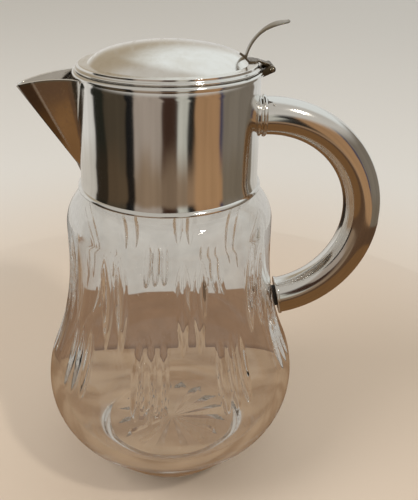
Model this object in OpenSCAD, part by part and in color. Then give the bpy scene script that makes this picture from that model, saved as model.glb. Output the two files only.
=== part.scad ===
// Claret jug: cut crystal body in a plated mount, with a beak spout, a bent
// tube handle and a domed lid on a pinned hinge.
// Millimetres, +Z up. The origin is the centre of the base, on the table.
// The spout points to -X, the handle and the lid's hinge are at +X.

/* [Crystal body] */
// Radius of the base that stands on the table
base_r = 40.7; // [34:0.1:46]
// Rounding of the heel, where the base turns up
heel_round = 3; // [1:0.5:5]
// Widest radius of the bowl
bowl_r = 72.2; // [66:0.1:78]
// Height of the widest place
bowl_z = 52; // [44:0.5:58]
// Curve radius of the bowl below its widest place
bowl_low_curve = 40; // [34:0.5:44]
// Curve radius of the bowl above its widest place
bowl_high_curve = 50; // [40:0.5:60]
// Radius of the waist
waist_r = 56.5; // [52:0.1:60]
// Height at which the waist turns straight
waist_z = 132; // [124:0.5:140]
// Height at which the shoulder starts
shoulder_z = 150; // [146:0.5:156]
// Curve radius of the shoulder
shoulder_curve = 21; // [17:0.5:24]
// Thickness of the crystal wall
wall = 6; // [4:0.1:8]
// Thickness of the crystal under the bowl
floor_thick = 14; // [10:0.5:18]
// Rounding of the corner inside the bowl
floor_round = 14; // [8:0.5:18]
// Gap between the crystal's neck and the mount, filled with plaster
neck_gap = 1.7; // [1:0.1:3]
// Thickness of the neck's wall
neck_wall = 5; // [4:0.1:6.5]
// Height of the neck inside the mount
neck_h = 16; // [12:0.5:18]

/* [Cuts] */
// Groups of flutes round the body
flute_groups = 9; // [6:1:10]
// Turn of the first upper group from the handle's side, in degrees
flute_turn = 0.7; // [-20:0.1:20]
// Flutes in each upper group
upper_count = 2; // [1:1:3]
// Angle between the flutes of an upper group
upper_pitch = 8.6; // [8:0.1:12]
// Height of the deepest place of the upper flutes
upper_z = 136; // [132:0.5:138]
// Radius of the wheel that cuts the upper flutes
upper_wheel_r = 122; // [100:1:126]
// Flutes in each lower group
lower_count = 3; // [1:1:3]
// Angle between the flutes of a lower group
lower_pitch = 6; // [5.8:0.1:8]
// Height of the deepest place of the lower flutes
lower_z = 84; // [80:0.5:88]
// Radius of the wheel that cuts the lower flutes
lower_wheel_r = 77; // [60:1:82]
// Depth of every flute at its middle
flute_depth = 1.5; // [0.8:0.1:2]
// Radius of the upper wheel's rounded rim
upper_rim_r = 4; // [3:0.1:4.2]
// Radius of the lower wheel's rounded rim
lower_rim_r = 3.2; // [2.4:0.1:3.3]
// Rays of the star cut under the base
star_rays = 16; // [8:1:20]
// Inner end of each ray
star_inner_r = 7; // [6:0.5:14]
// Outer end of each ray
star_outer_r = 33; // [24:0.5:34]
// Depth of each ray
star_depth = 1.1; // [0.6:0.1:1.2]

/* [Mount] */
// Outer radius of the plated mount
mount_r = 47.5; // [47:0.1:49]
// Thickness of the mount's sheet
sheet = 1; // [0.6:0.1:1.2]
// Height of the mount from its foot to its top edge
mount_h = 62.8; // [58:0.2:68]
// Gap between the shoulder's end and the mount's foot
foot_lift = 1.4; // [1:0.1:3]
// Height of the flared foot of the mount
flare_h = 8; // [5:0.5:12]
// How far the flare spreads at the foot
flare_out = 0.9; // [0.4:0.1:1.4]
// Height of the roll moulding round the foot
foot_bead_h = 3.4; // [2.4:0.1:4.5]
// How far that moulding stands out from the flare
foot_bead_out = 0.6; // [0.4:0.1:1.2]
// Height of the rim moulding round the top
top_bead_h = 2.8; // [2:0.1:3.6]
// How far the rim moulding stands out
top_bead_out = 1.5; // [1:0.1:2]
// Gap between pieces that seat in one another
seat_gap = 0.05; // [0.02:0.01:0.1]

/* [Spout] */
// How far the tip reaches from the jug's axis
tip_reach = 78.5; // [72:0.5:84]
// Height of the spout's foot above the mount's foot
spout_foot = 7; // [6:0.1:12]
// Width of the spout where it meets the mount
spout_mouth_w = 40.8; // [38:0.2:44]
// Drop of the spout's rim below the rim moulding, at the mount
rim_drop = 0.3; // [0.2:0.1:2]
// Radius of the arch of the spout's rim
rim_arch = 95; // [85:1:120]
// How far the top of that arch lies inside the mount's face
arch_in = 2.5; // [0:0.5:5]
// Half-angle of the rounded nose
nose_angle = 6.6; // [5:0.1:8]
// Where the flat side ends, out from the mount
side_out = 3; // [2:0.1:4.5]
// Half-width of the spout at that place
side_half_w = 15.4; // [14:0.1:16.5]
// Thickness of the spout's sheet
spout_sheet = 1.2; // [0.8:0.1:1.5]
// Height of the window's sill above the spout's foot
window_sill = 13; // [12:0.5:20]
// Metal left at each side of the window
window_margin = 2.4; // [1.5:0.1:2.8]

/* [Handle] */
// Drop of the handle's upper end below the mount's top edge
handle_drop = 25.6; // [22:0.2:32]
// Outer radius of the handle's tube
tube_r = 10.3; // [8.5:0.1:11]
// Wall of the tube
tube_wall = 1.2; // [0.8:0.1:1.6]
// Radius of the bend along the middle of the tube
bend_r = 55.8; // [53:0.2:57]
// Angle that the space at the tube's lower end opens by, towards its top
end_tilt_angle = 3; // [0:0.5:6]
// Space between the middle of the tube's end and the crystal
end_space = 1.8; // [1.5:0.1:3]
// How far the rings stand out from the tube
ring_out = 1.1; // [0.6:0.1:1.6]
// Rounding of the rings' edges
ring_round = 0.5; // [0.2:0.1:0.6]
// Width of the ferrule ring
ferrule_w = 2.4; // [1.6:0.1:2.6]
// Width of the groove between the socket's ring and the ferrule
groove_w = 0.7; // [0.4:0.1:1]
// How far the socket's ring stands off the mount
socket_out = 0.5; // [0.3:0.1:1]
// Length of the spigot inside the tube
spigot_in = 2.4; // [1.5:0.1:3]
// Wall of the hollow spigot
spigot_wall = 1.5; // [1:0.1:2.5]
// Radius of the vent hole in the tube
vent_r = 0.6; // [0.4:0.05:1]
// Distance of the vent hole from the ferrule
vent_in = 3.4; // [2:0.1:8]
// Width of the ring at the tube's lower end
end_ring_w = 1.6; // [1:0.1:3]
// How far that ring stands out from the tube
end_ring_out = 0.6; // [0.3:0.1:1]
// Thickness of the cap that closes the lower end
cap_thick = 1.2; // [0.8:0.1:2]
// Radius of the buffer pad
pad_r = 6; // [4:0.1:7]
// Gap between the pad and the crystal
pad_gap = 0.1; // [0.05:0.05:0.3]

/* [Lid] */
// Running gap under the closed lid
lid_gap = 0.3; // [0.2:0.05:0.5]
// Height of the roll round the lid's edge
roll_h = 1.2; // [1:0.1:1.6]
// Radius of the hollow moulding above the roll
cove_r = 1; // [0.8:0.1:1.4]
// Width of the flat band between that moulding and the dome
band_w = 4.7; // [3:0.1:6]
// Height of the dome above the band
dome_h = 10; // [8:0.1:12]
// Curve radius of the dome's shoulder
dome_edge_curve = 24; // [20:0.5:30]
// Curve radius of the dome's crown
dome_crown_curve = 120; // [110:1:240]
// Thickness of the lid's sheet
lid_sheet = 0.8; // [0.6:0.1:1.2]
// Width of the moulded ring that the lid is built on
lid_ring_w = 4; // [3.6:0.1:5]
// Depth of the flange that locates the lid
bezel_h = 4; // [3:0.1:6]
// Gap between the flange and the mount
bezel_gap = 0.5; // [0.4:0.05:0.8]
// Thickness of the flange
bezel_wall = 0.8; // [0.6:0.1:1.2]

/* [Hinge] */
// How far the pin lies out from the mount
pin_out = 4.7; // [4.5:0.1:6]
// Radius of the pin
pin_r = 0.8; // [0.6:0.05:1]
// Running clearance of the pin in the lid's knuckle
pin_clear = 0.05; // [0.02:0.01:0.1]
// Radius of the knuckles
knuckle_r = 1.8; // [1.6:0.05:2.1]
// Length of the lid's knuckle
mid_knuckle_w = 7.4; // [6:0.1:9]
// Length of each knuckle on the mount
side_knuckle_w = 4; // [3:0.1:5]
// Gap between knuckles, and under the lid's knuckle
knuckle_gap = 0.3; // [0.2:0.05:0.5]
// Radius of the beads that close the pin
pin_head_r = 1.5; // [1.2:0.05:1.7]
// Depth of the hinge bracket below the mount's top edge
bracket_h = 5.5; // [5:0.1:8]
// Thickness of the hinge leaf
leaf_thick = 1; // [0.8:0.1:1.3]
// Width of the leaf on the dome
leaf_w = 15; // [12:0.5:18]
// How far the leaf's point lies in from the pin
leaf_reach = 16; // [15:0.1:20]

/* [Thumb piece] */
// How far the stem stands in from the pin
thumb_in = 12.6; // [12:0.1:13.4]
// Curve radius of the thumb piece
thumb_curve = 23; // [20:0.2:25]
// How far the middle of the thumb pad lies out from the pin
thumb_pad_out = 2.6; // [1:0.1:4]
// Lean of the stem at its foot, from upright
thumb_lean_angle = 8; // [2:1:12]
// Curve radius of the turned-up lip
lip_curve = 4; // [3:0.1:6]
// Thickness of the thumb piece
thumb_thick = 1.3; // [1:0.1:1.6]
// Width of the stem
stem_w = 6; // [5:0.2:8]
// Width of the pad at the tip
thumb_w = 16; // [12:0.2:18]

/* [Hidden] */
$fn = 96;
eps = 0.01;
far = 400;

// The crystal's neck stands inside the mount.
bore_r = mount_r - sheet;
neck_r = bore_r - neck_gap;

// Crystal: the bowl's arc above its widest place runs into the waist's
// hollow arc with one tangent, which fixes the waist's curve radius.
rise = waist_z - bowl_z;
narrowing = bowl_r - waist_r;
waist_curve = (narrowing * narrowing + rise * rise) / (2 * narrowing) - bowl_high_curve;
turn_angle = asin(rise / (waist_curve + bowl_high_curve));
low_centre = [bowl_r - bowl_low_curve, bowl_z];
high_centre = [bowl_r - bowl_high_curve, bowl_z];
waist_centre = [waist_r + waist_curve, waist_z];
shoulder_centre = [waist_r - shoulder_curve, shoulder_z];
// The straight flank runs from the base's edge, tangent to the low arc.
foot_to_centre = low_centre - [base_r, 0];
flank_angle = atan2(foot_to_centre.y, foot_to_centre.x)
    - asin(bowl_low_curve / norm(foot_to_centre));
flank_out = [sin(flank_angle), -cos(flank_angle)];
shoulder_end = acos((neck_r - shoulder_centre.x) / shoulder_curve);
seat_z = shoulder_z + shoulder_curve * sin(shoulder_end);

// Half the length of wheel used, so that it is clear of the crystal at its ends
flute_reach = 33;

// Mount and lid heights
foot_z = seat_z + foot_lift;
top_z = foot_z + mount_h;
glass_top = foot_z + neck_h;
rim_z = top_z + lid_gap;
shelf_z = rim_z + roll_h + cove_r;
band_z = shelf_z + lid_sheet;
shelf_r = mount_r - roll_h / 2 - cove_r;
dome_r = shelf_r - band_w;

// Spout
rim_top = top_z - top_bead_h - rim_drop;
arch_x = mount_r - arch_in;
foot_in = 0.3;
apex = [foot_in - mount_r, 0, foot_z + spout_foot];
mouth_half = spout_mouth_w / 2;

// Handle: the bend's centre follows the mount above and the crystal below.
handle_z = top_z - handle_drop;
bend_z = handle_z - bend_r;
// The tube's end faces the hollow side of the crystal.
side_slope = asin((waist_z - bend_z + bend_r) / waist_curve);
tube_end_angle = 90 - side_slope + end_tilt_angle;
end_z = bend_z - bend_r * sin(tube_end_angle);
bend_x = waist_side_r(end_z) + end_space - bend_r * cos(tube_end_angle);
socket_face = mount_r + socket_out;
ferrule_x = socket_face + groove_w;
tube_start = ferrule_x + ferrule_w;
ring_r = tube_r + ring_out;
tube_bore = tube_r - tube_wall;
spigot_r = tube_bore - seat_gap;

// Hinge
pin_x = mount_r + pin_out;
pin_z = rim_z;
pin_fit = 0.01;
side_knuckle_y = mid_knuckle_w / 2 + knuckle_gap;
hinge_half = side_knuckle_y + side_knuckle_w;

// Dome: the edge arc touches the crown's arc and starts on the band.
crown_centre = [0, band_z + dome_h - dome_crown_curve];
dome_foot = [dome_r, band_z];
foot_line = dome_foot - crown_centre;
foot_dist = norm(foot_line);
centre_dist = dome_crown_curve - dome_edge_curve;
along = (centre_dist * centre_dist - dome_edge_curve * dome_edge_curve + foot_dist * foot_dist)
    / (2 * foot_dist);
aside = sqrt(centre_dist * centre_dist - along * along);
edge_centre = crown_centre
    + (along * foot_line + aside * [-foot_line.y, foot_line.x]) / foot_dist;
crown_angle = atan2(edge_centre.y - crown_centre.y, edge_centre.x - crown_centre.x);

// Radius of the crystal at height z, on the hollow arc of the waist
function waist_side_r(z) =
    waist_centre.x - sqrt(waist_curve * waist_curve - (waist_z - z) * (waist_z - z));
// Points of an arc, from angle a0 to a1
function arc(c, r, a0, a1, n = 6) =
    [for (i = [0:n]) let (a = a0 + (a1 - a0) * i / n) c + r * [cos(a), sin(a)]];
// Unit vector along v
function unit(v) = v / norm(v);
// Unit vector square to u and as near to v as it can be
function square_to(u, v) = unit(v - (u * v) * u);

// ---------- Crystal ----------

module crystal_outside() {
    heel = heel_round * tan(flank_angle / 2);
    polygon(concat(
        [[0, 0]],
        arc([base_r - heel, heel_round], heel_round, -90, flank_angle - 90, 4),
        arc(low_centre, bowl_low_curve, flank_angle - 90, 0, 7),
        arc(high_centre, bowl_high_curve, 0, turn_angle, 4),
        arc(waist_centre, waist_curve, 180 + turn_angle, 180, 6),
        arc(shoulder_centre, shoulder_curve, 0, shoulder_end, 6),
        [[neck_r, glass_top], [0, glass_top]]));
}

module crystal_inside() {
    corner_z = floor_thick + floor_round;
    corner_x = base_r + (-flank_out.y * corner_z - wall - floor_round) / flank_out.x;
    inner_neck = neck_r - neck_wall;
    inner_curve = shoulder_curve - wall;
    inner_end = acos((inner_neck - shoulder_centre.x) / inner_curve);
    polygon(concat(
        [[0, floor_thick]],
        arc([corner_x, corner_z], floor_round, -90, flank_angle - 90, 5),
        arc(low_centre, bowl_low_curve - wall, flank_angle - 90, 0, 6),
        arc(high_centre, bowl_high_curve - wall, 0, turn_angle, 4),
        arc(waist_centre, waist_curve + wall, 180 + turn_angle, 180, 5),
        arc(shoulder_centre, inner_curve, 0, inner_end, 6),
        [[inner_neck, glass_top + 1], [0, glass_top + 1]]));
}

// One olive-shaped flute, as the round rim of a cutting wheel leaves it. Its
// deepest place lies at the origin, and the surface faces +X.
module flute(wheel_r, rim_r) {
    half = asin(flute_reach / wheel_r);
    translate([wheel_r, 0, 0])
        rotate([90, 0, 0])
            rotate([0, 0, 180 - half])
                rotate_extrude(angle = 2 * half)
                    translate([wheel_r - rim_r, 0])
                        circle(r = rim_r, $fn = 32);
}

module upper_flutes() {
    for (g = [0:flute_groups - 1], i = [0:upper_count - 1])
        rotate([0, 0, flute_turn + g * 360 / flute_groups + (i - (upper_count - 1) / 2) * upper_pitch])
            translate([waist_r - flute_depth, 0, upper_z])
                flute(upper_wheel_r, upper_rim_r);
}

// The lower flutes lie on the hollow arc between waist and bowl.
module lower_flutes() {
    slope = asin((waist_z - lower_z) / waist_curve);
    depth_r = waist_centre.x - (waist_curve + flute_depth) * cos(slope);
    for (g = [0:flute_groups - 1], i = [0:lower_count - 1])
        rotate([0, 0, flute_turn + (g + 0.5) * 360 / flute_groups
            + (i - (lower_count - 1) / 2) * lower_pitch])
            translate([depth_r, 0, lower_z])
                rotate([0, -slope, 0])
                    flute(lower_wheel_r, lower_rim_r);
}

module star() {
    side = star_depth * sqrt(2);
    for (i = [0:star_rays - 1])
        rotate([0, 0, (i + 0.5) * 360 / star_rays])
            translate([star_inner_r, 0, 0])
                rotate([45, 0, 0])
                    translate([0, -side / 2, -side / 2])
                        cube([star_outer_r - star_inner_r, side, side]);
}

module glass_body() {
    color([0.86, 0.9, 0.9, 0.35])
        difference() {
            rotate_extrude() crystal_outside();
            rotate_extrude() crystal_inside();
            upper_flutes();
            lower_flutes();
            star();
        }
}

// ---------- Mount ----------

// A ring of plaster that fixes the neck in the mount.
module neck_cement() {
    color("gainsboro")
        translate([0, 0, foot_z + 0.5])
            difference() {
                cylinder(r = bore_r - seat_gap, h = neck_h - 1);
                translate([0, 0, -1])
                    cylinder(r = neck_r + seat_gap, h = neck_h + 1);
            }
}

// ---------- Spout ----------
// The spout is a bent sheet. All the straight lines of its outside run from
// one point at its foot, the apex, up to the arched rim: round the nose, along
// a flat side, and out over a flare to the mount. The second half mirrors it.

function rim_height(reach) =
    rim_top - rim_arch + sqrt(rim_arch * rim_arch - (reach - arch_x) * (reach - arch_x));

tip = [-tip_reach, 0, rim_height(tip_reach)];
side_end = [-mount_r - side_out, -side_half_w, rim_height(mount_r + side_out)];
mouth_x = sqrt(mount_r * mount_r - mouth_half * mouth_half);
mouth_end = [-mouth_x, -mouth_half, rim_height(mouth_x)];
keel = unit(tip - apex);
nose_axis = cos(nose_angle) * keel + sin(nose_angle) * [keel.z, 0, -keel.x];
side_line = unit(side_end - apex);
flare_line = unit(mouth_end - apex);
// Outward direction of the flat side, which holds side_line and touches the nose
nose_side = square_to(side_line, nose_axis);
tilt = acos(-sin(nose_angle) / (nose_side * nose_axis));
side_normal = cos(tilt) * nose_side - sin(tilt) * cross(nose_side, side_line);
// The flare's cone touches the flat side at side_line and holds flare_line.
flare_angle = atan((1 - side_line * flare_line) / (side_normal * flare_line));
flare_axis = cos(flare_angle) * side_line + sin(flare_angle) * side_normal;
// Points from which the lines of the sheet's inside start
nose_inner = apex + spout_sheet / sin(nose_angle) * nose_axis;
flare_inner = apex - spout_sheet / sin(flare_angle) * flare_axis;

// Line of a cone at angle t round its axis, where u is square to the axis
function cone_line(axis, angle, u, t) =
    cos(angle) * axis + sin(angle) * (cos(t) * u + sin(t) * cross(axis, u));

// Point where a line from p along d meets the arch of the rim
function to_arch(p, d) =
    let (x = p.x + arch_x, z = p.z - rim_top + rim_arch,
        a = d.x * d.x + d.z * d.z, b = x * d.x + z * d.z, c = x * x + z * z - rim_arch * rim_arch)
    p + (sqrt(b * b - a * c) - b) / a * d;

// Point where a line from p along d meets the spout's middle plane
function to_middle(p, d) = p - p.y / d.y * d;

function mirrored(points) = [for (p = points) [p.x, -p.y, p.z]];

// Lines of a cone from direction d0 round to direction d1, in equal steps
function cone_lines(axis, angle, d0, d1, steps) =
    let (u = square_to(axis, d0), v = square_to(axis, d1), way = sign(cross(u, v) * axis))
    [for (i = [0:steps]) cone_line(axis, angle, u, way * acos(u * v) * i / steps)];

// Triangles between two rows of n points that start at a and b
function strip(a, b, n) =
    [for (i = [0:n - 2]) each [[a + i, b + i, b + i + 1], [a + i, b + i + 1, a + i + 1]]];

// Triangles between the point a and a row of n points that starts at b
function fan(a, b, n) = [for (i = [0:n - 2]) [a, b + i, b + i + 1]];

function flipped(faces) = [for (f = faces) [f[0], f[2], f[1]]];

module spout_beak() {
    nose_steps = 8;
    flare_steps = 6;
    nose_lines = cone_lines(nose_axis, nose_angle, keel,
        unit(nose_axis + sin(nose_angle) * side_normal), nose_steps);
    flare_lines = cone_lines(flare_axis, flare_angle, side_line, flare_line, flare_steps);
    // Rims of one half, from the keel to the mount
    outer = [for (d = concat(nose_lines, flare_lines)) to_arch(apex, d)];
    inner = concat([for (d = nose_lines) to_arch(nose_inner, d)],
        [for (d = flare_lines) to_arch(flare_inner, d)]);
    starts = [for (d = flare_lines) to_middle(flare_inner, d)];
    nose = nose_steps + 1;
    flare = flare_steps + 1;
    n = nose + flare;
    // Points: both rims of each half, then those in the middle plane
    points = concat(outer, inner, mirrored(outer), mirrored(inner), [apex, nose_inner], starts);
    foot = 4 * n;
    top = foot + 1;
    first = foot + 2;
    last = foot + 1 + flare;
    halves = [for (o = [0, 2 * n]) let (q = o + n)
        concat(fan(foot, o, n), strip(o, q, n), flipped(fan(top, q, nose)),
            [[top, q + nose, q + nose - 1], [top, first, q + nose]],
            flipped(strip(first, q + nose, flare)),
            [[foot, o + n - 1, q + n - 1], [foot, q + n - 1, last]])];
    color("silver")
        difference() {
            polyhedron(points, concat(halves[0], flipped(halves[1])));
            cylinder(r = mount_r + seat_gap, h = far);
        }
}

// ---------- Mount's band and mouldings ----------

// The window behind the spout narrows downward with it.
module spout_window() {
    sill = apex.z + window_sill;
    head = top_z - top_bead_h;
    spread = mouth_half / (rim_top - apex.z);
    low_half = (sill - apex.z) * spread - window_margin;
    high_half = (head - apex.z) * spread - window_margin;
    translate([-mount_r - sheet, 0, 0])
        rotate([90, 0, 90])
            linear_extrude(height = mount_r)
                polygon([[-low_half, sill], [low_half, sill], [high_half, head], [-high_half, head]]);
}

module mount_band() {
    flare_curve = (flare_h * flare_h + flare_out * flare_out) / (2 * flare_out);
    flare_end = asin(flare_h / flare_curve);
    foot_arc = arc([mount_r + flare_curve, foot_z + flare_h], flare_curve, 180 + flare_end, 180, 4);
    color("silver")
        difference() {
            rotate_extrude()
                polygon(concat([[bore_r, top_z], [bore_r, foot_z]], foot_arc, [[mount_r, top_z]]));
            spout_window();
        }
}

// Half-round moulding with its back on radius r, between z and z + h
module moulding(r, z, h, out) {
    curve = (h * h / 4 + out * out) / (2 * out);
    reach = asin(h / 2 / curve);
    rotate_extrude()
        polygon(concat([[r, z + h], [r, z]],
            arc([r + out - curve, z + h / 2], curve, -reach, reach, 8)));
}

module mount_foot_bead() {
    color("silver")
        moulding(mount_r + flare_out + seat_gap, foot_z, foot_bead_h, foot_bead_out);
}

module mount_top_bead() {
    color("silver")
        moulding(mount_r + seat_gap, top_z - top_bead_h, top_bead_h, top_bead_out);
}

// ---------- Handle ----------

// The hollow tube is one long bend, cut square to the mount at its upper end.
module handle_tube() {
    spare_angle = 3;
    color("silver")
        difference() {
            translate([bend_x, 0, bend_z])
                rotate([90, 0, 0])
                    rotate([0, 0, -tube_end_angle])
                        rotate_extrude(angle = 90 + tube_end_angle + spare_angle)
                            translate([bend_r, 0])
                                difference() {
                                    circle(r = tube_r);
                                    circle(r = tube_bore);
                                }
            translate([tube_start - 2 * tube_r, -2 * tube_r, handle_z - 2 * tube_r])
                cube([2 * tube_r, 4 * tube_r, 4 * tube_r]);
            translate([tube_start + vent_in, 0, handle_z])
                rotate([45, 0, 0])
                    cylinder(r = vent_r, h = tube_r + 1, $fn = 24);
        }
}

// Ring with rounded outer edges, along X from the origin
module turned_ring(r_in, r_out, w) {
    rotate([0, 90, 0])
        rotate_extrude()
            polygon(concat([[r_in, w], [r_in, 0]],
                arc([r_out - ring_round, ring_round], ring_round, -90, 0, 4),
                arc([r_out - ring_round, w - ring_round], ring_round, 0, 90, 4)));
}

// The socket's ring is hollowed to the mount; its spigot holds the tube.
module handle_socket() {
    ring_back = 3;
    color("silver")
        difference() {
            translate([mount_r - ring_back, 0, handle_z]) {
                turned_ring(spigot_r - spigot_wall, ring_r, ring_back + socket_out);
                rotate([0, 90, 0])
                    difference() {
                        union() {
                            cylinder(r = tube_r, h = ring_back + socket_out + groove_w);
                            cylinder(r = spigot_r, h = tube_start + spigot_in - mount_r + ring_back);
                        }
                        translate([0, 0, -1])
                            cylinder(r = spigot_r - spigot_wall, h = far);
                    }
            }
            cylinder(r = mount_r + seat_gap, h = far);
        }
}

module handle_ferrule() {
    color("silver")
        translate([ferrule_x, 0, handle_z])
            turned_ring(tube_bore, ring_r, ferrule_w);
}

// Frame at the tube's lower end: -Z points out of the tube, at the crystal
module at_tube_end() {
    translate([bend_x, 0, bend_z])
        rotate([0, tube_end_angle, 0])
            translate([bend_r, 0, 0])
                children();
}

module handle_end_ring() {
    color("silver")
        at_tube_end()
            rotate([0, -90, 0])
                turned_ring(tube_r + seat_gap, tube_r + seat_gap + end_ring_out, end_ring_w);
}

module handle_end_cap() {
    color("silver")
        at_tube_end()
            cylinder(r = tube_bore - seat_gap, h = cap_thick);
}

// The pad fills the space to the crystal, and its face is shaped to it.
module handle_pad() {
    reach = end_space + pad_r;
    waist_side = waist_side_r(end_z);
    color("black")
        difference() {
            at_tube_end()
                translate([0, 0, -reach])
                    cylinder(r = pad_r, h = reach);
            rotate_extrude()
                difference() {
                    translate([0, end_z - 2 * pad_r])
                        square([waist_side + 4 * pad_r, 4 * pad_r]);
                    translate([waist_centre.x, waist_centre.y])
                        circle(r = waist_curve - pad_gap, $fn = 360);
                }
        }
}

// ---------- Lid ----------

// Line of the dome and its band, moved out by t, from the band's edge to the top
function dome_line(t) =
    let (start = asin((band_z + t - edge_centre.y) / (dome_edge_curve + t)))
    concat(arc(edge_centre, dome_edge_curve + t, start, crown_angle, 6),
        arc(crown_centre, dome_crown_curve + t, crown_angle, 90, 5));

// Solid of revolution under the dome, moved out by t
module dome_solid(t, edge_r, bottom) {
    rotate_extrude()
        polygon(concat([[0, bottom], [edge_r, bottom], [edge_r, band_z + t]], dome_line(t)));
}

module lid_dome() {
    inner_foot = dome_line(-lid_sheet)[0].x;
    color("silver")
        difference() {
            dome_solid(0, shelf_r - seat_gap, shelf_z);
            rotate_extrude()
                polygon(concat([[0, shelf_z - 1], [inner_foot, shelf_z - 1]], dome_line(-lid_sheet)));
        }
}

module lid_rim() {
    roll_r = roll_h / 2;
    roll_centre = [mount_r - roll_r, rim_z + roll_r];
    cove_centre = [mount_r - roll_r, rim_z + roll_h + cove_r];
    color("silver")
        rotate_extrude()
            polygon(concat([[mount_r - lid_ring_w, shelf_z], [mount_r - lid_ring_w, rim_z]],
                arc(roll_centre, roll_r, -90, 90, 8),
                arc(cove_centre, cove_r, 270, 180, 5)));
}

module lid_bezel() {
    outer = bore_r - bezel_gap;
    color("silver")
        translate([0, 0, rim_z - bezel_h])
            difference() {
                cylinder(r = outer, h = bezel_h);
                translate([0, 0, -1])
                    cylinder(r = outer - bezel_wall, h = bezel_h + 2);
            }
}

// ---------- Hinge ----------

module along_pin(r, y0, y1) {
    translate([pin_x, y1, pin_z])
        rotate([90, 0, 0])
            cylinder(r = r, h = y1 - y0, $fn = 48);
}

// Plate of the given side outline (X, Z) between y0 and y1
module side_plate(points, y0, y1) {
    translate([0, y1, 0])
        rotate([90, 0, 0])
            linear_extrude(height = y1 - y0)
                polygon(points);
}

// The bracket grows out of the rim moulding and ends in two knuckles.
module hinge_lug() {
    low_z = top_z - bracket_h;
    back_top = pin_z - lid_gap - seat_gap;
    inside = mount_r - 1;
    // Space for the lid's knuckle and strap
    space_r = knuckle_r + knuckle_gap;
    space_z = pin_z - lid_gap - knuckle_gap;
    color("silver")
        difference() {
            translate([0, hinge_half, 0])
                rotate([90, 0, 0])
                    linear_extrude(height = 2 * hinge_half) {
                        translate([pin_x, pin_z])
                            circle(r = knuckle_r, $fn = 48);
                        polygon([[inside, low_z], [pin_x + knuckle_r / 2, pin_z - knuckle_r / 2],
                            [pin_x, pin_z], [inside, back_top]]);
                    }
            along_pin(pin_r + pin_fit, -far / 2, far / 2);
            along_pin(space_r, -side_knuckle_y, side_knuckle_y);
            side_plate([[mount_r, space_z], [pin_x - space_r, space_z], [pin_x, pin_z - knuckle_r / 2],
                [pin_x + space_r, pin_z - knuckle_r / 2], [pin_x + space_r, pin_z + space_r],
                [mount_r, pin_z + space_r]], -side_knuckle_y, side_knuckle_y);
            cylinder(r = mount_r + seat_gap, h = far);
            translate([0, 0, top_z - top_bead_h - seat_gap])
                cylinder(r = mount_r + top_bead_out + 2 * seat_gap, h = far);
        }
}

module hinge_pin() {
    color("dimgray") {
        along_pin(pin_r, -hinge_half - eps, hinge_half + eps);
        for (m = [0, 1])
            mirror([0, m, 0])
                intersection() {
                    translate([pin_x, hinge_half, pin_z])
                        sphere(r = pin_head_r, $fn = 48);
                    along_pin(2 * pin_head_r, hinge_half, hinge_half + 2 * pin_head_r);
                }
    }
}

// Outline of the leaf from above: a strap that widens to a pointed shield
module leaf_plan() {
    half = mid_knuckle_w / 2;
    point = pin_x - leaf_reach;
    wide = shelf_r - band_w / 2;
    polygon([[point, 0], [wide - leaf_w / 5, -leaf_w / 2], [wide, -leaf_w / 2], [shelf_r, -half],
        [pin_x, -half], [pin_x, half], [shelf_r, half], [wide, leaf_w / 2],
        [wide - leaf_w / 5, leaf_w / 2]]);
}

module hinge_leaf() {
    half = mid_knuckle_w / 2;
    strap_top = band_z + leaf_thick;
    edge = shelf_r + seat_gap;
    color("silver")
        difference() {
            union() {
                intersection() {
                    difference() {
                        dome_solid(leaf_thick, shelf_r, band_z);
                        dome_solid(seat_gap, shelf_r + 1, band_z - 1);
                    }
                    linear_extrude(height = far)
                        leaf_plan();
                }
                side_plate([[edge - 2, band_z + seat_gap], [edge, band_z + seat_gap],
                    [pin_x - knuckle_r, pin_z + 0.2], [pin_x, pin_z], [pin_x, pin_z + knuckle_r],
                    [edge, strap_top], [edge - 2, strap_top]], -half, half);
                along_pin(knuckle_r, -half, half);
            }
            along_pin(pin_r + pin_clear, -far / 2, far / 2);
        }
}

// ---------- Thumb piece ----------

// Curved strip seen from the side, with its lip turned up at the tip
module thumb_side() {
    stem_x = pin_x - thumb_in;
    start = 180 - thumb_lean_angle;
    level = 95;
    centre = [stem_x - thumb_curve * cos(start), band_z + leaf_thick - thumb_curve * sin(start)];
    mid = thumb_curve - thumb_thick / 2;
    tip_end = centre + mid * [cos(level), sin(level)];
    lip_centre = tip_end + lip_curve * [cos(level), sin(level)];
    lip_turn = 35;
    foot_dip = 7;
    half = thumb_thick / 2;
    polygon(concat(
        arc(centre, thumb_curve, start + foot_dip, level, 14),
        arc(lip_centre, lip_curve - half, level + 180, level + 180 + lip_turn, 4),
        arc(lip_centre, lip_curve + half, level + 180 + lip_turn, level + 180, 4),
        arc(centre, thumb_curve - thumb_thick, level, start + foot_dip, 14)));
}

// Outline from above: a narrow stem and a round pad at the tip
module thumb_plan() {
    stem_x = pin_x - thumb_in;
    stem_start = stem_x - stem_w / 2;
    stem_end = stem_x + 0.6 * thumb_in;
    half = stem_w / 2;
    pad_r = thumb_w / 2;
    pad_x = pin_x + thumb_pad_out;
    // The stem's sides run onto the pad a quarter of its radius before its middle.
    join = pad_r * [-0.25, 0.96];
    polygon([[stem_start, -half], [stem_end, -half], [pad_x + join.x, -join.y],
        [pad_x + join.x, join.y], [stem_end, half], [stem_start, half]]);
    translate([pad_x, 0])
        circle(r = pad_r);
}

module thumb_piece() {
    color("silver")
        difference() {
            intersection() {
                translate([0, thumb_w, 0])
                    rotate([90, 0, 0])
                        linear_extrude(height = 2 * thumb_w)
                            thumb_side();
                linear_extrude(height = far)
                    thumb_plan();
            }
            dome_solid(leaf_thick + seat_gap, shelf_r + 1, band_z - 2 * bezel_h);
        }
}

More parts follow.
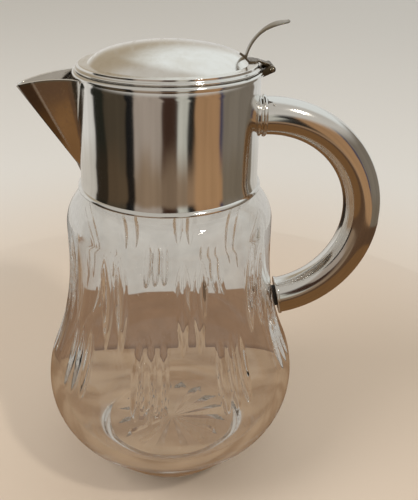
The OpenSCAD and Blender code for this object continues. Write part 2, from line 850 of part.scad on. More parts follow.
glass_body();
neck_cement();
mount_band();
mount_foot_bead();
mount_top_bead();
spout_beak();
hinge_lug();
hinge_pin();
handle_socket();
handle_ferrule();
handle_tube();
handle_end_ring();
handle_end_cap();
handle_pad();
lid_dome();
lid_rim();
lid_bezel();
hinge_leaf();
thumb_piece();
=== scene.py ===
"""Claret jug of cut crystal with a plated mount, spout, tube handle and hinged lid.

Every visible piece is a surface worked out on a grid of points, in
millimetres, in the jug's own frame: +Z up, -X to the spout and +X to the
handle, with the jug standing on Z = 0.
"""

import logging
from dataclasses import dataclass
from enum import Enum
from math import acos, asin, atan2, cos, degrees, hypot, pi, radians, sin, sqrt, tan
from typing import Sequence

import bmesh
import bpy
import numpy as np
from mathutils import Matrix, Vector

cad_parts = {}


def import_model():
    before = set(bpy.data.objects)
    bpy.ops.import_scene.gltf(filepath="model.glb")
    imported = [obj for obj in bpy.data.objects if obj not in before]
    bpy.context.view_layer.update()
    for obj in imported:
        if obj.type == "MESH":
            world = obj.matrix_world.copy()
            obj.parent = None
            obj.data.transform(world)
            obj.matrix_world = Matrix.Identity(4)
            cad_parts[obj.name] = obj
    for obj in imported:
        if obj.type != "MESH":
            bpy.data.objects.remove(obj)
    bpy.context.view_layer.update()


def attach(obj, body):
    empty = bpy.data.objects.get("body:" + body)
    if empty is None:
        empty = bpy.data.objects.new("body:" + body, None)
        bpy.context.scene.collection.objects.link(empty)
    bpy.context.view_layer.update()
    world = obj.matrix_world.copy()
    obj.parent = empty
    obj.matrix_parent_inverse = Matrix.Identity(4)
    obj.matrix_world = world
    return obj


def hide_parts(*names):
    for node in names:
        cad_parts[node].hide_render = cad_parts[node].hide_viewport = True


MM = 0.001
WELD = 1e-6

log = logging.getLogger("claret_jug")

Colour = tuple[float, float, float]
Point = tuple[float, float, float]
Socket = bpy.types.NodeSocket


class Body(Enum):
    """The two bodies that move against each other."""

    JUG = "jug"
    LID = "lid"


class Slot(Enum):
    """Names of the record's material slots."""

    CRYSTAL = "crystal"
    SILVER = "silver_plate"
    PLASTER = "plaster"
    PAD = "pad"


# ---------------------------------------------------------------- surfaces


def arc(
    centre: tuple[float, float], radius: float, start: float, end: float, steps: int
) -> np.ndarray:
    """Points of an arc: centre + radius * (cos a, sin a), with a in equal steps.

    Args:
        centre: Middle of the circle.
        radius: Radius of the circle.
        start: First angle, in degrees.
        end: Last angle, in degrees.
        steps: Number of steps between the two angles.

    Returns:
        An array of steps + 1 points.
    """
    a = np.radians(np.linspace(start, end, steps + 1))
    return np.column_stack([centre[0] + radius * np.cos(a), centre[1] + radius * np.sin(a)])


def straight(start: Sequence[float], end: Sequence[float], steps: int) -> np.ndarray:
    """Points of a straight line: start + t * (end - start), with t from 0 to 1."""
    t = np.linspace(0.0, 1.0, steps + 1)[:, None]
    return np.asarray(start, float) + t * (np.asarray(end, float) - np.asarray(start, float))


def chain(*parts: np.ndarray) -> np.ndarray:
    """Parts of a profile joined into one, with points that repeat left out."""
    points = np.concatenate([np.atleast_2d(p) for p in parts])
    step = np.linalg.norm(np.diff(points, axis=0), axis=1)
    return points[np.concatenate([[True], step > 1e-4])]


@dataclass(frozen=True)
class Sheet:
    """A grid of points with its quads, in millimetres.

    ring joins the last column to the first, loop joins the last row to the
    first, and start_cap and end_cap close the first and last row with a face.
    Quads that open_faces marks are left out.
    """

    points: np.ndarray
    ring: bool = True
    loop: bool = False
    start_cap: bool = False
    end_cap: bool = False
    open_faces: np.ndarray | None = None

    def faces(self, first: int) -> list[np.ndarray]:
        """Arrays of faces, each with one number of corners.

        Args:
            first: Index of the sheet's first point in the whole mesh.

        Returns:
            The quads, and the caps where the sheet has them.
        """
        rows, columns = self.points.shape[:2]
        index = first + np.arange(rows * columns).reshape(rows, columns)
        grid = index
        if self.ring:
            grid = np.hstack([grid, grid[:, :1]])
        if self.loop:
            grid = np.vstack([grid, grid[:1]])
        quads = np.stack([grid[:-1, :-1], grid[:-1, 1:], grid[1:, 1:], grid[1:, :-1]], -1)
        if self.open_faces is not None:
            quads = quads[~self.open_faces]
        found = [quads.reshape(-1, 4)]
        if self.start_cap:
            found.append(index[:1, ::-1])
        if self.end_cap:
            found.append(index[-1:])
        return found


def mesh_of(
    name: str,
    sheets: Sequence[Sheet],
    extra: Sequence[np.ndarray] = (),
    shares: dict[str, np.ndarray] | None = None,
) -> bpy.types.Mesh:
    """One mesh from sheets whose shared edges are merged.

    Args:
        name: Name of the mesh.
        sheets: The sheets, in the order in which their points are numbered.
        extra: Further faces, as arrays of indices into all the points.
        shares: Attributes, each with a number from 0 to 1 for every point.

    Returns:
        The mesh, with merged doubles and its faces turned outwards.
    """
    points = np.concatenate([s.points.reshape(-1, 3) for s in sheets]) * MM
    faces, first = list(extra), 0
    for sheet in sheets:
        faces += sheet.faces(first)
        first += sheet.points.shape[0] * sheet.points.shape[1]
    corners = np.concatenate([f.ravel() for f in faces])
    totals = np.concatenate([np.full(len(f), f.shape[1]) for f in faces])
    mesh = bpy.data.meshes.new(name)
    mesh.vertices.add(len(points))
    mesh.vertices.foreach_set("co", points.astype(np.float32).ravel())
    mesh.loops.add(len(corners))
    mesh.loops.foreach_set("vertex_index", corners.astype(np.int32))
    mesh.polygons.add(len(totals))
    starts = np.concatenate([[0], np.cumsum(totals)[:-1]])
    mesh.polygons.foreach_set("loop_start", starts.astype(np.int32))
    mesh.polygons.foreach_set("loop_total", totals.astype(np.int32))
    mesh.update(calc_edges=True)
    for label, share in (shares or {}).items():
        layer = mesh.attributes.new(label, "FLOAT", "POINT")
        layer.data.foreach_set("value", share.astype(np.float32).ravel())
    work = bmesh.new()
    work.from_mesh(mesh)
    bmesh.ops.remove_doubles(work, verts=work.verts, dist=WELD)
    bmesh.ops.recalc_face_normals(work, faces=work.faces)
    work.to_mesh(mesh)
    work.free()
    return mesh


def make_piece(
    name: str,
    sheets: Sequence[Sheet],
    finish: "Finish",
    body: Body,
    stands_for: str,
    crease: float = 40.0,
    extra: Sequence[np.ndarray] = (),
    shares: dict[str, np.ndarray] | None = None,
) -> bpy.types.Object:
    """A dressed piece on its body, in place of the plain solid.

    Args:
        name: Name of the piece.
        sheets: Its surfaces.
        finish: What it is made of.
        body: The body that it moves with.
        stands_for: Node of the plain model that it replaces.
        crease: Angle above which an edge is drawn sharp, in degrees.
        extra: Further faces, as arrays of indices into all the points.
        shares: Attributes that the finish reads, from 0 to 1 for every point.

    Returns:
        The new object.
    """
    mesh = mesh_of(name, sheets, extra, shares)
    mesh.shade_smooth()
    mesh.set_sharp_from_angle(angle=radians(crease))
    mesh.materials.append(finish.material())
    piece = bpy.data.objects.new(name, mesh)
    bpy.context.scene.collection.objects.link(piece)
    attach(piece, body.value)
    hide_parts(stands_for)
    log.info("%s: %d faces for %s", name, len(mesh.polygons), stands_for)
    return piece


def turned(profile: np.ndarray, columns: int, loop: bool = True) -> Sheet:
    """Surface turned round Z: a point (r, z) becomes (r cos a, r sin a, z).

    Args:
        profile: Points (r, z).
        columns: Number of points round the axis.
        loop: Whether the profile closes on itself.

    Returns:
        The turned sheet.
    """
    a = np.linspace(0.0, 2 * pi, columns, endpoint=False)
    r, z = profile[:, :1], profile[:, 1:]
    points = np.stack([r * np.cos(a), r * np.sin(a), z + 0 * a], -1)
    return Sheet(points, loop=loop)


def turned_along(
    profile: np.ndarray,
    origin: Sequence[float],
    axis: Sequence[float],
    columns: int,
    loop: bool = True,
) -> Sheet:
    """Surface turned round any axis: origin + x * axis + r * (u cos a + v sin a).

    Args:
        profile: Points (x, r), with x along the axis.
        origin: Where x is 0.
        axis: Direction of the axis.
        columns: Number of points round the axis.
        loop: Whether the profile closes on itself.

    Returns:
        The turned sheet.
    """
    along, u, v = axes_about(axis)
    a = np.linspace(0.0, 2 * pi, columns, endpoint=False)[None, :, None]
    x, r = profile[:, 0][:, None, None], profile[:, 1][:, None, None]
    points = np.asarray(origin, float) + x * along + r * (np.cos(a) * u + np.sin(a) * v)
    return Sheet(points, loop=loop)


def axes_about(axis: Sequence[float]) -> tuple[np.ndarray, np.ndarray, np.ndarray]:
    """The unit axis and two unit directions square to it, the first near +Z."""
    along = unit(np.asarray(axis, float))
    up = np.array([0.0, 0.0, 1.0]) if abs(along[2]) < 0.9 else np.array([1.0, 0.0, 0.0])
    u = unit(up - (up @ along) * along)
    return along, u, np.cross(along, u)


def unit(v: np.ndarray) -> np.ndarray:
    """v at length 1, along its last axis."""
    return v / np.linalg.norm(v, axis=-1, keepdims=True)


def square_to(u: np.ndarray, v: np.ndarray) -> np.ndarray:
    """Unit vector square to u and as near to v as it can be."""
    return unit(v - (u @ v) * u)


def drawn_in(outline: np.ndarray, inset: float) -> np.ndarray:
    """A closed outline moved inwards: each corner goes along its bisector.

    Args:
        outline: Corners (x, z), counter-clockwise.
        inset: How far the sides move in.

    Returns:
        The moved corners.
    """
    side = np.roll(outline, -1, 0) - outline
    side = side / np.linalg.norm(side, axis=1, keepdims=True)
    inward = np.column_stack([-side[:, 1], side[:, 0]])
    before = np.roll(inward, 1, 0)
    both = inward + before
    scale = 2.0 / np.maximum((both * both).sum(1, keepdims=True), 0.8)
    return outline + inset * both * scale


def plate(outline: np.ndarray, low: float, high: float, rounding: float) -> Sheet:
    """Plate across Y with rounded edges.

    At a depth below each face the outline is drawn in by
    rounding * (1 - cos a), at the height rounding * (1 - sin a).

    Args:
        outline: Corners (x, z), counter-clockwise.
        low: Lowest Y.
        high: Highest Y.
        rounding: Radius of the edges.

    Returns:
        The closed sheet.
    """
    a = np.radians(np.linspace(0.0, 90.0, 5))
    insets = rounding * (1 - np.sin(a))
    drops = rounding * (1 - np.cos(a))
    rows = [np.insert(drawn_in(outline, i), 1, low + d, axis=1) for i, d in zip(insets, drops)]
    rows += [
        np.insert(drawn_in(outline, i), 1, high - d, axis=1)
        for i, d in zip(insets[::-1], drops[::-1])
    ]
    return Sheet(np.array(rows), start_cap=True, end_cap=True)


def dense(outline: np.ndarray, step: float) -> np.ndarray:
    """A closed outline with further points set evenly along its long sides."""
    ends = np.roll(outline, -1, 0)
    parts = [
        straight(a, b, max(1, round(float(np.linalg.norm(b - a)) / step)))[:-1]
        for a, b in zip(outline, ends)
    ]
    return np.concatenate(parts)


# ---------------------------------------------------------------- finishes


class Nodes:
    """Short-hand for the nodes of one tree."""

    def __init__(self, tree: bpy.types.NodeTree) -> None:
        """Keeps the tree."""
        self.tree = tree

    def add(self, kind: str, **settings: object) -> bpy.types.Node:
        """A new node.

        Args:
            kind: Type of the node, without its ShaderNode start.
            settings: Its properties, or its inputs where no property has the
                name; underscores stand for the spaces of an input's name.

        Returns:
            The node.
        """
        node = self.tree.nodes.new("ShaderNode" + kind)
        for key, value in settings.items():
            if hasattr(node, key):
                setattr(node, key, value)
            else:
                self.feed(node.inputs[key.replace("_", " ")], value)
        return node

    def feed(self, place: Socket, value: object) -> None:
        """Gives an input a constant, or joins it to another node's output."""
        if isinstance(value, Socket):
            self.tree.links.new(value, place)
        elif isinstance(value, tuple) and len(value) < len(place.default_value):
            place.default_value = (*value, 1.0)
        else:
            place.default_value = value

    def surface(self, shader: bpy.types.Node) -> None:
        """Makes a shader the surface of the material."""
        self.add("OutputMaterial", Surface=shader.outputs[0])

    def place(self) -> Socket:
        """Place on the object, in metres."""
        return self.add("TexCoord").outputs["Object"]

    def axes(self, place: Socket) -> tuple[Socket, ...]:
        """X, Y and Z of a place."""
        return tuple(self.add("SeparateXYZ", Vector=place).outputs)

    def stretched(
        self, place: Socket, scale: Sequence[float], turn: Sequence[float] = (0.0, 0.0, 0.0)
    ) -> Socket:
        """A place whose axes are scaled and turned."""
        return self.add("Mapping", Vector=place, Rotation=turn, Scale=scale).outputs[0]

    def texture(self, kind: str, place: Socket, **settings: object) -> Socket:
        """First output of a texture at a place."""
        return self.add("Tex" + kind, Vector=place, **settings).outputs[0]

    def maths(self, kind: str, *values: object) -> Socket:
        """Result of a Math node; each value is a number or a socket."""
        node = self.add("Math", operation=kind)
        for place, value in zip(node.inputs, values):
            self.feed(place, value)
        return node.outputs[0]

    def spread(self, value: Socket, low: float, high: float, soft: bool = True) -> Socket:
        """The value as a share of the way from low to high, held between 0 and 1."""
        kind = "SMOOTHSTEP" if soft else "LINEAR"
        node = self.add("MapRange", clamp=True, interpolation_type=kind, Value=value,
                        From_Min=low, From_Max=high)
        return node.outputs[0]

    def ramp(self, source: Socket, stops: Sequence[tuple[float, Colour]]) -> Socket:
        """Colours of a ramp over a value.

        Args:
            source: The value, from 0 to 1.
            stops: Places and colours.

        Returns:
            The colour socket.
        """
        node = self.add("ValToRGB")
        bar = node.color_ramp.elements
        while len(bar) < len(stops):
            bar.new(1.0)
        for element, (place, colour) in zip(bar, stops):
            element.position = place
            element.color = (*colour, 1.0)
        self.feed(node.inputs[0], source)
        return node.outputs[0]

    def mixed(self, factor: object, first: object, second: object) -> Socket:
        """Colour between two colours; each value is a constant or a socket."""
        node = self.add("Mix", data_type="RGBA")
        for index, value in zip((0, 6, 7), (factor, first, second)):
            self.feed(node.inputs[index], value)
        return node.outputs[2]


def new_group(
    name: str, ins: Sequence[tuple[str, str, float]], outs: Sequence[tuple[str, str]]
) -> tuple[bpy.types.NodeTree, Nodes, bpy.types.Node, bpy.types.Node]:
    """An empty node group with its sockets.

    Args:
        name: Name of the group.
        ins: Name, socket type and default of each input.
        outs: Name and socket type of each output.

    Returns:
        The tree, its short-hand, and its input and output nodes.
    """
    tree = bpy.data.node_groups.new(name, "ShaderNodeTree")
    for label, kind, default in ins:
        socket = tree.interface.new_socket(label, in_out="INPUT", socket_type=kind)
        if kind == "NodeSocketFloat":
            socket.default_value = default
    for label, kind in outs:
        tree.interface.new_socket(label, in_out="OUTPUT", socket_type=kind)
    entry = tree.nodes.new("NodeGroupInput")
    leave = tree.nodes.new("NodeGroupOutput")
    return tree, Nodes(tree), entry, leave


def hairlines_group() -> bpy.types.NodeTree:
    """Fine hairlines left by polishing and use.

    Three layers of noise, each stretched forty times along its own direction,
    are cut to their thinnest crests and added up.

    Returns:
        The group, which is made once.
    """
    if "Hairlines" in bpy.data.node_groups:
        return bpy.data.node_groups["Hairlines"]
    tree, nodes, entry, leave = new_group(
        "Hairlines",
        [("Place", "NodeSocketVector", 0.0), ("Fineness", "NodeSocketFloat", 700.0)],
        [("Lines", "NodeSocketFloat")],
    )
    layers = []
    for turn in ((0.3, 0.2, 0.5), (1.1, 0.7, -0.4), (-0.6, 1.3, 1.9)):
        along = nodes.stretched(entry.outputs["Place"], (1.0, 0.025, 1.0), turn)
        noise = nodes.texture("Noise", along, Scale=entry.outputs["Fineness"], Detail=1.0,
                              Roughness=0.4)
        layers.append(nodes.spread(noise, 0.62, 0.72, soft=False))
    total = nodes.maths("ADD", nodes.maths("ADD", layers[0], layers[1]), layers[2])
    nodes.feed(leave.inputs["Lines"], nodes.maths("MINIMUM", total, 1.0))
    return tree


def stains_group() -> bpy.types.NodeTree:
    """Cloudy stains of handling and tarnish.

    Two noises of different size are multiplied and stretched to 0..1.

    Returns:
        The group, which is made once.
    """
    if "Stains" in bpy.data.node_groups:
        return bpy.data.node_groups["Stains"]
    tree, nodes, entry, leave = new_group(
        "Stains",
        [("Place", "NodeSocketVector", 0.0), ("Size", "NodeSocketFloat", 28.0)],
        [("Cover", "NodeSocketFloat")],
    )
    place, size = entry.outputs["Place"], entry.outputs["Size"]
    broad = nodes.texture("Noise", place, Scale=size, Detail=3.0, Roughness=0.55, Distortion=0.3)
    small = nodes.texture("Noise", place, Scale=nodes.maths("MULTIPLY", size, 5.0), Detail=5.0,
                          Roughness=0.6)
    cover = nodes.spread(nodes.maths("MULTIPLY", broad, small), 0.18, 0.42, soft=False)
    nodes.feed(leave.inputs["Cover"], cover)
    return tree


@dataclass(frozen=True)
class Finish:
    """What a piece is made of; each kind draws its own nodes."""

    name: str
    slot: Slot

    def material(self) -> bpy.types.Material:
        """The material, made the first time that it is asked for."""
        made = bpy.data.materials.get(self.name)
        if made is None:
            made = bpy.data.materials.new(self.name)
            made.use_nodes = True
            made.node_tree.nodes.clear()
            self.draw(Nodes(made.node_tree))
        return made

    def draw(self, nodes: Nodes) -> None:
        """Adds the nodes; each kind of finish has its own."""
        raise NotImplementedError

    def stains(self, nodes: Nodes, place: Socket, **values: float) -> Socket:
        """Cover of the shared stains, at this finish's size."""
        return nodes.add("Group", node_tree=stains_group(), Place=place, **values).outputs[0]

    def hairlines(self, nodes: Nodes, place: Socket, **values: float) -> Socket:
        """Lines of the shared hairlines, at this finish's fineness."""
        return nodes.add("Group", node_tree=hairlines_group(), Place=place, **values).outputs[0]

    def bumped(
        self, nodes: Nodes, height: Socket, depth: float, under: Socket | None = None
    ) -> Socket:
        """Normal of a bump of the given depth in metres, over another normal."""
        more = {} if under is None else {"Normal": under}
        return nodes.add("Bump", Strength=1.0, Distance=depth, Height=height, **more).outputs[0]


@dataclass(frozen=True)
class SilverPlate(Finish):
    """Polished silver plate: clean metal, cloudy stains, hairlines, soft waves."""

    metal: Colour = (0.90, 0.885, 0.855)
    stain: Colour = (0.62, 0.54, 0.42)
    stain_share: float = 0.22
    polish: float = 0.075
    dulled: float = 0.17
    line_rough: float = 0.10
    wave: float = 0.00004
    wave_scale: float = 55.0
    line_depth: float = 0.0000015

    def draw(self, nodes: Nodes) -> None:
        """Colour and roughness follow the stains; hairlines and waves are bumps."""
        place = nodes.place()
        cover = self.stains(nodes, place)
        lines = self.hairlines(nodes, place)
        share = nodes.maths("MULTIPLY", cover, self.stain_share)
        dull = nodes.maths("MULTIPLY", cover, self.dulled - self.polish)
        lined = nodes.maths("MULTIPLY", lines, self.line_rough)
        rough = nodes.maths("ADD", nodes.maths("ADD", dull, lined), self.polish)
        waves = nodes.texture("Noise", place, Scale=self.wave_scale, Detail=1.0)
        under = self.bumped(nodes, waves, self.wave)
        nodes.surface(nodes.add(
            "BsdfPrincipled",
            Metallic=1.0,
            Base_Color=self.local_colour(nodes, nodes.mixed(share, self.metal, self.stain)),
            Roughness=self.local_rough(nodes, rough),
            Normal=self.bumped(nodes, lines, self.line_depth, under),
        ))

    def local_colour(self, nodes: Nodes, colour: Socket) -> Socket:
        """The colour, for a kind of plate that differs from place to place."""
        return colour

    def local_rough(self, nodes: Nodes, rough: Socket) -> Socket:
        """The roughness, for a kind of plate that differs from place to place."""
        return rough


@dataclass(frozen=True)
class SeamedPlate(SilverPlate):
    """Plate with a dull soldered seam, and painted shade on the nose of the spout and inside it."""

    # Colour and strength of the painted shade on the spout's nose and inside.
    painted_shade_colour: Colour = (0.16, 0.115, 0.065)
    painted_shade_share: float = 0.72
    solder: Colour = (0.93, 0.91, 0.87)
    seam_rough: float = 0.55

    def share_of(self, nodes: Nodes, label: str) -> Socket:
        """A share that the mesh holds for each point."""
        return nodes.add("Attribute", attribute_name=label).outputs["Fac"]

    def local_colour(self, nodes: Nodes, colour: Socket) -> Socket:
        """Painted shade where the mesh's shade attribute says, and clean solder on the seam."""
        share = nodes.maths("MULTIPLY", self.share_of(nodes, "dusk"), self.painted_shade_share)
        darker = nodes.mixed(share, colour, self.painted_shade_colour)
        return nodes.mixed(self.share_of(nodes, "seam"), darker, self.solder)

    def local_rough(self, nodes: Nodes, rough: Socket) -> Socket:
        """The seam is duller than the sheet."""
        dull = nodes.maths("MULTIPLY", self.share_of(nodes, "seam"), self.seam_rough)
        return nodes.maths("ADD", rough, dull)


@dataclass(frozen=True)
class CutCrystal(Finish):
    """Clear crystal with polished cuts and a foot scuffed by tables."""

    tint: Colour = (0.985, 0.99, 0.985)
    bend: float = 1.54
    polish: float = 0.004
    scuff_height: float = 0.0012
    scuff_rough: float = 0.18
    wave: float = 0.00008
    wave_scale: float = 38.0

    def draw(self, nodes: Nodes) -> None:
        """Refraction throughout; roughness grows where the foot touches down."""
        place = nodes.place()
        foot = nodes.spread(nodes.axes(place)[2], self.scuff_height, 0.0, soft=False)
        lines = self.hairlines(nodes, place, Fineness=900.0)
        worn = nodes.maths("MULTIPLY", foot, nodes.maths("ADD", lines, 0.35))
        waves = nodes.texture("Noise", place, Scale=self.wave_scale, Detail=0.0)
        nodes.surface(nodes.add(
            "BsdfPrincipled",
            IOR=self.bend,
            Base_Color=self.tint,
            Transmission_Weight=1.0,
            Roughness=nodes.maths("ADD", nodes.maths("MULTIPLY", worn, self.scuff_rough),
                                  self.polish),
            Normal=self.bumped(nodes, waves, self.wave),
        ))


@dataclass(frozen=True)
class StainedSolid(Finish):
    """A plain dull material that stains turn from one colour to another."""

    clean: Colour
    stained: Colour
    stain_size: float
    rough: float
    grain: str
    grain_settings: tuple[tuple[str, float], ...]
    grain_depth: float

    def draw(self, nodes: Nodes) -> None:
        """Stains choose between the two colours; a texture gives the grain."""
        place = nodes.place()
        cover = self.stains(nodes, place, Size=self.stain_size)
        grain = nodes.texture(self.grain, place, **dict(self.grain_settings))
        nodes.surface(nodes.add(
            "BsdfPrincipled",
            Roughness=self.rough,
            Base_Color=nodes.mixed(cover, self.clean, self.stained),
            Normal=self.bumped(nodes, grain, self.grain_depth),
        ))


SILVER = SilverPlate("silver_plate", Slot.SILVER)
# Very dark plate for the hinge bracket, the lid's leaf and the handle's end cap.
DARK_SILVER = SilverPlate(
    "dark_plate", Slot.SILVER, metal=(0.15, 0.11, 0.068), stain=(0.016, 0.012, 0.010),
    stain_share=0.98, polish=0.2, dulled=0.45,
)
WORN_SILVER = SilverPlate(
    "worn_plate", Slot.SILVER, stain_share=0.30, polish=0.12, dulled=0.17, wave=0.00003,
    line_depth=0.0000003,
)
SEAMED_SILVER = SeamedPlate("seamed_plate", Slot.SILVER)
# Dark brownish plate for the thumb piece and the pin.
THUMB_SILVER = SilverPlate(
    "dim_plate", Slot.SILVER, metal=(0.27, 0.24, 0.19), stain=(0.13, 0.105, 0.07),
    stain_share=0.6, polish=0.12, dulled=0.3,
)
CRYSTAL = CutCrystal("cut_crystal", Slot.CRYSTAL)
PAD = StainedSolid(
    "buffer_pad_brown", Slot.PAD, clean=(0.035, 0.028, 0.022), stained=(0.11, 0.09, 0.07),
    stain_size=160.0, rough=0.62, grain="Noise",
    grain_settings=(("Scale", 3200.0), ("Detail", 2.0)), grain_depth=0.00005,
)
PLASTER = StainedSolid(
    "set_plaster", Slot.PLASTER, clean=(0.80, 0.77, 0.70), stained=(0.58, 0.50, 0.38),
    stain_size=90.0, rough=0.85, grain="Voronoi", grain_settings=(("Scale", 1400.0),),
    grain_depth=0.0001,
)


# ---------------------------------------------------------------- crystal


@dataclass(frozen=True)
class Flutes:
    """One row of pointed flutes, as the V-shaped rim of a cutting wheel leaves them."""

    centre_z: float
    wheel_r: float
    rim_slope: float
    turns: tuple[float, ...]
    tilt: float
    path_r: float
    edge: float = 1.0

    def cut(self, points: np.ndarray) -> np.ndarray:
        """Presses the flutes into a turned surface.

        A point is carried away from the wheel's middle C by
        d - (sqrt((k s)^2 + c^2) - c), where d = wheel_r - |P - C| is its depth
        in the wheel, s its distance to the side of the flute's middle, k the
        slope of the wheel's rim and c the rounding of its edge.

        Args:
            points: Grid of points.

        Returns:
            The grid with the flutes in it.
        """
        out = points.copy()
        r = np.hypot(points[..., 0], points[..., 1])
        a = np.arctan2(points[..., 1], points[..., 0])
        tilt = radians(self.tilt)
        centre = np.array([
            self.path_r + self.wheel_r * cos(tilt), self.centre_z + self.wheel_r * sin(tilt)
        ])
        for turn in self.turns:
            off = (a - radians(turn) + pi) % (2 * pi) - pi
            s = r * np.sin(off)
            flat = np.stack([r * np.cos(off), points[..., 2]], -1) - centre
            dist = np.linalg.norm(flat, axis=-1)
            inside = np.abs(off) < 1.0
            rim = np.sqrt((self.rim_slope * s) ** 2 + self.edge**2) - self.edge
            depth = np.where(inside, self.wheel_r - dist - rim, 0.0)
            depth = np.maximum(depth, 0.0)
            way = flat / dist[..., None] * depth[..., None]
            c, n = cos(radians(turn)), sin(radians(turn))
            out[..., 0] += way[..., 0] * c
            out[..., 1] += way[..., 0] * n
            out[..., 2] += way[..., 1]
        return out


@dataclass
class CrystalBody:
    """The blown and cut crystal body, with the plaster that holds it."""

    base_r: float = 40.7
    heel_round: float = 3.0
    bowl_r: float = 72.2
    bowl_z: float = 52.0
    bowl_low_curve: float = 40.0
    bowl_high_curve: float = 50.0
    waist_r: float = 56.5
    waist_z: float = 132.0
    shoulder_z: float = 150.0
    shoulder_curve: float = 21.0
    wall: float = 6.0
    floor_thick: float = 14.0
    floor_round: float = 14.0
    neck_r: float = 44.8
    neck_wall: float = 5.0
    neck_h: float = 16.0
    foot_lift: float = 1.4
    flute_groups: int = 9
    flute_turn: float = 0.7
    upper_depth: float = 2.4
    upper_wheel: float = 86.0
    lower_depth: float = 2.1
    lower_wheel: float = 68.0
    flute_slope: float = 0.84
    star_rays: int = 16
    star_outer_r: float = 36.0
    star_slope: float = 0.36
    star_meet: float = 0.98
    star_inner_r: float = 1.0
    star_end: float = 4.0
    star_outer_slope: float = 1.6
    upper_z: float = 130.0
    upper_pitch: float = 8.6
    lower_z: float = 84.0
    lower_pitch: float = 6.0
    columns: int = 640
    inner_columns: int = 160

    def __post_init__(self) -> None:
        """Works out the arcs that the profile is made of."""
        rise, narrowing = self.waist_z - self.bowl_z, self.bowl_r - self.waist_r
        self.waist_curve = (narrowing**2 + rise**2) / (2 * narrowing) - self.bowl_high_curve
        self.turn_angle = degrees(asin(rise / (self.waist_curve + self.bowl_high_curve)))
        self.low_centre = (self.bowl_r - self.bowl_low_curve, self.bowl_z)
        self.high_centre = (self.bowl_r - self.bowl_high_curve, self.bowl_z)
        self.waist_centre = (self.waist_r + self.waist_curve, self.waist_z)
        self.shoulder_centre = (self.waist_r - self.shoulder_curve, self.shoulder_z)
        out, up = self.low_centre[0] - self.base_r, self.low_centre[1]
        self.flank = degrees(atan2(up, out) - asin(self.bowl_low_curve / hypot(out, up)))
        neck_out = self.neck_r - self.shoulder_centre[0]
        self.shoulder_end = degrees(acos(neck_out / self.shoulder_curve))
        self.seat_z = self.shoulder_z + self.shoulder_curve * sin(radians(self.shoulder_end))
        self.foot_z = self.seat_z + self.foot_lift
        self.top_z = self.foot_z + self.neck_h

    def side_r(self, z: np.ndarray) -> np.ndarray:
        """Radius at height z on the hollow arc of the waist: c - sqrt(R^2 - h^2)."""
        return self.waist_centre[0] - np.sqrt(self.waist_curve**2 - (self.waist_z - z) ** 2)

    def outside(self) -> np.ndarray:
        """Profile of the outside, from the base's edge up to the neck's top."""
        heel = self.heel_round * tan(radians(self.flank / 2))
        low = arc(self.low_centre, self.bowl_low_curve, self.flank - 90, 0, 22)
        start = arc(
            (self.base_r - heel, self.heel_round), self.heel_round, -90, self.flank - 90, 6
        )
        return chain(
            start,
            straight(start[-1], low[0], 3),
            low,
            arc(self.high_centre, self.bowl_high_curve, 0, self.turn_angle, 14),
            arc(self.waist_centre, self.waist_curve, 180 + self.turn_angle, 180, 46),
            straight((self.waist_r, self.waist_z), (self.waist_r, self.shoulder_z), 14),
            arc(self.shoulder_centre, self.shoulder_curve, 0, self.shoulder_end, 14),
            straight((self.neck_r, self.seat_z), (self.neck_r, self.top_z), 2),
        )

    def inside(self) -> np.ndarray:
        """Profile of the inside, from the middle of the floor up to the neck's top."""
        turn = radians(self.flank)
        corner_z = self.floor_thick + self.floor_round
        drawn = cos(turn) * corner_z - self.wall - self.floor_round
        corner_x = self.base_r + drawn / sin(turn)
        neck = self.neck_r - self.neck_wall
        curve = self.shoulder_curve - self.wall
        end = degrees(acos((neck - self.shoulder_centre[0]) / curve))
        corner = arc((corner_x, corner_z), self.floor_round, -90, self.flank - 90, 8)
        return chain(
            straight((0, self.floor_thick), corner[0], 6),
            corner,
            arc(self.low_centre, self.bowl_low_curve - self.wall, self.flank - 90, 0, 10),
            arc(self.high_centre, self.bowl_high_curve - self.wall, 0, self.turn_angle, 6),
            arc(self.waist_centre, self.waist_curve + self.wall, 180 + self.turn_angle, 180, 16),
            arc(self.shoulder_centre, curve, 0, end, 8),
            straight((neck, self.seat_z), (neck, self.top_z), 2),
        )

    def flutes(self) -> list[Flutes]:
        """The upper pairs and the lower threes of flutes."""
        step = 360 / self.flute_groups
        upper = [self.flute_turn + g * step + i * self.upper_pitch
                 for g in range(self.flute_groups) for i in (-0.5, 0.5)]
        lower = [self.flute_turn + (g + 0.5) * step + i * self.lower_pitch
                 for g in range(self.flute_groups) for i in (-1, 0, 1)]
        slope = degrees(asin((self.waist_z - self.lower_z) / self.waist_curve))
        depth_r = self.waist_centre[0] - (self.waist_curve + self.lower_depth) * cos(radians(slope))
        return [
            Flutes(self.upper_z, self.upper_wheel, self.flute_slope, tuple(upper), 0.0,
                   self.waist_r - self.upper_depth),
            Flutes(self.lower_z, self.lower_wheel, self.flute_slope, tuple(lower), slope,
                   depth_r),
        ]

    def base(self) -> np.ndarray:
        """Underside with the star of broad rays that nearly meet.

        The V of a ray is slope * (w - |s|), with s the distance to the side of
        its middle line and w = star_meet * r * tan(step / 2) the half-width,
        which is drawn in towards both ends of the ray.

        Returns:
            The grid, from the middle out to the base's edge.
        """
        heel = self.heel_round * tan(radians(self.flank / 2))
        r = chain(
            straight((0, 0), (self.star_outer_r, 0), 18),
            straight((self.star_outer_r, 0), (self.base_r - heel, 0), 2),
        )[:, :1]
        a = np.linspace(0.0, 2 * pi, self.columns, endpoint=False)
        step = 2 * pi / self.star_rays
        off = (a + 0 * r) % step - step / 2
        outer_end = (self.star_outer_r - r) / self.star_outer_slope
        ends = np.minimum(r - self.star_inner_r, outer_end) / self.star_end
        ends = np.clip(ends, 0.0, 1.0)
        half = self.star_meet * r * tan(step / 2) * ends
        z = self.star_slope * np.maximum(half - np.abs(r * np.sin(off)), 0.0)
        return np.stack([r * np.cos(a), r * np.sin(a), z], -1)

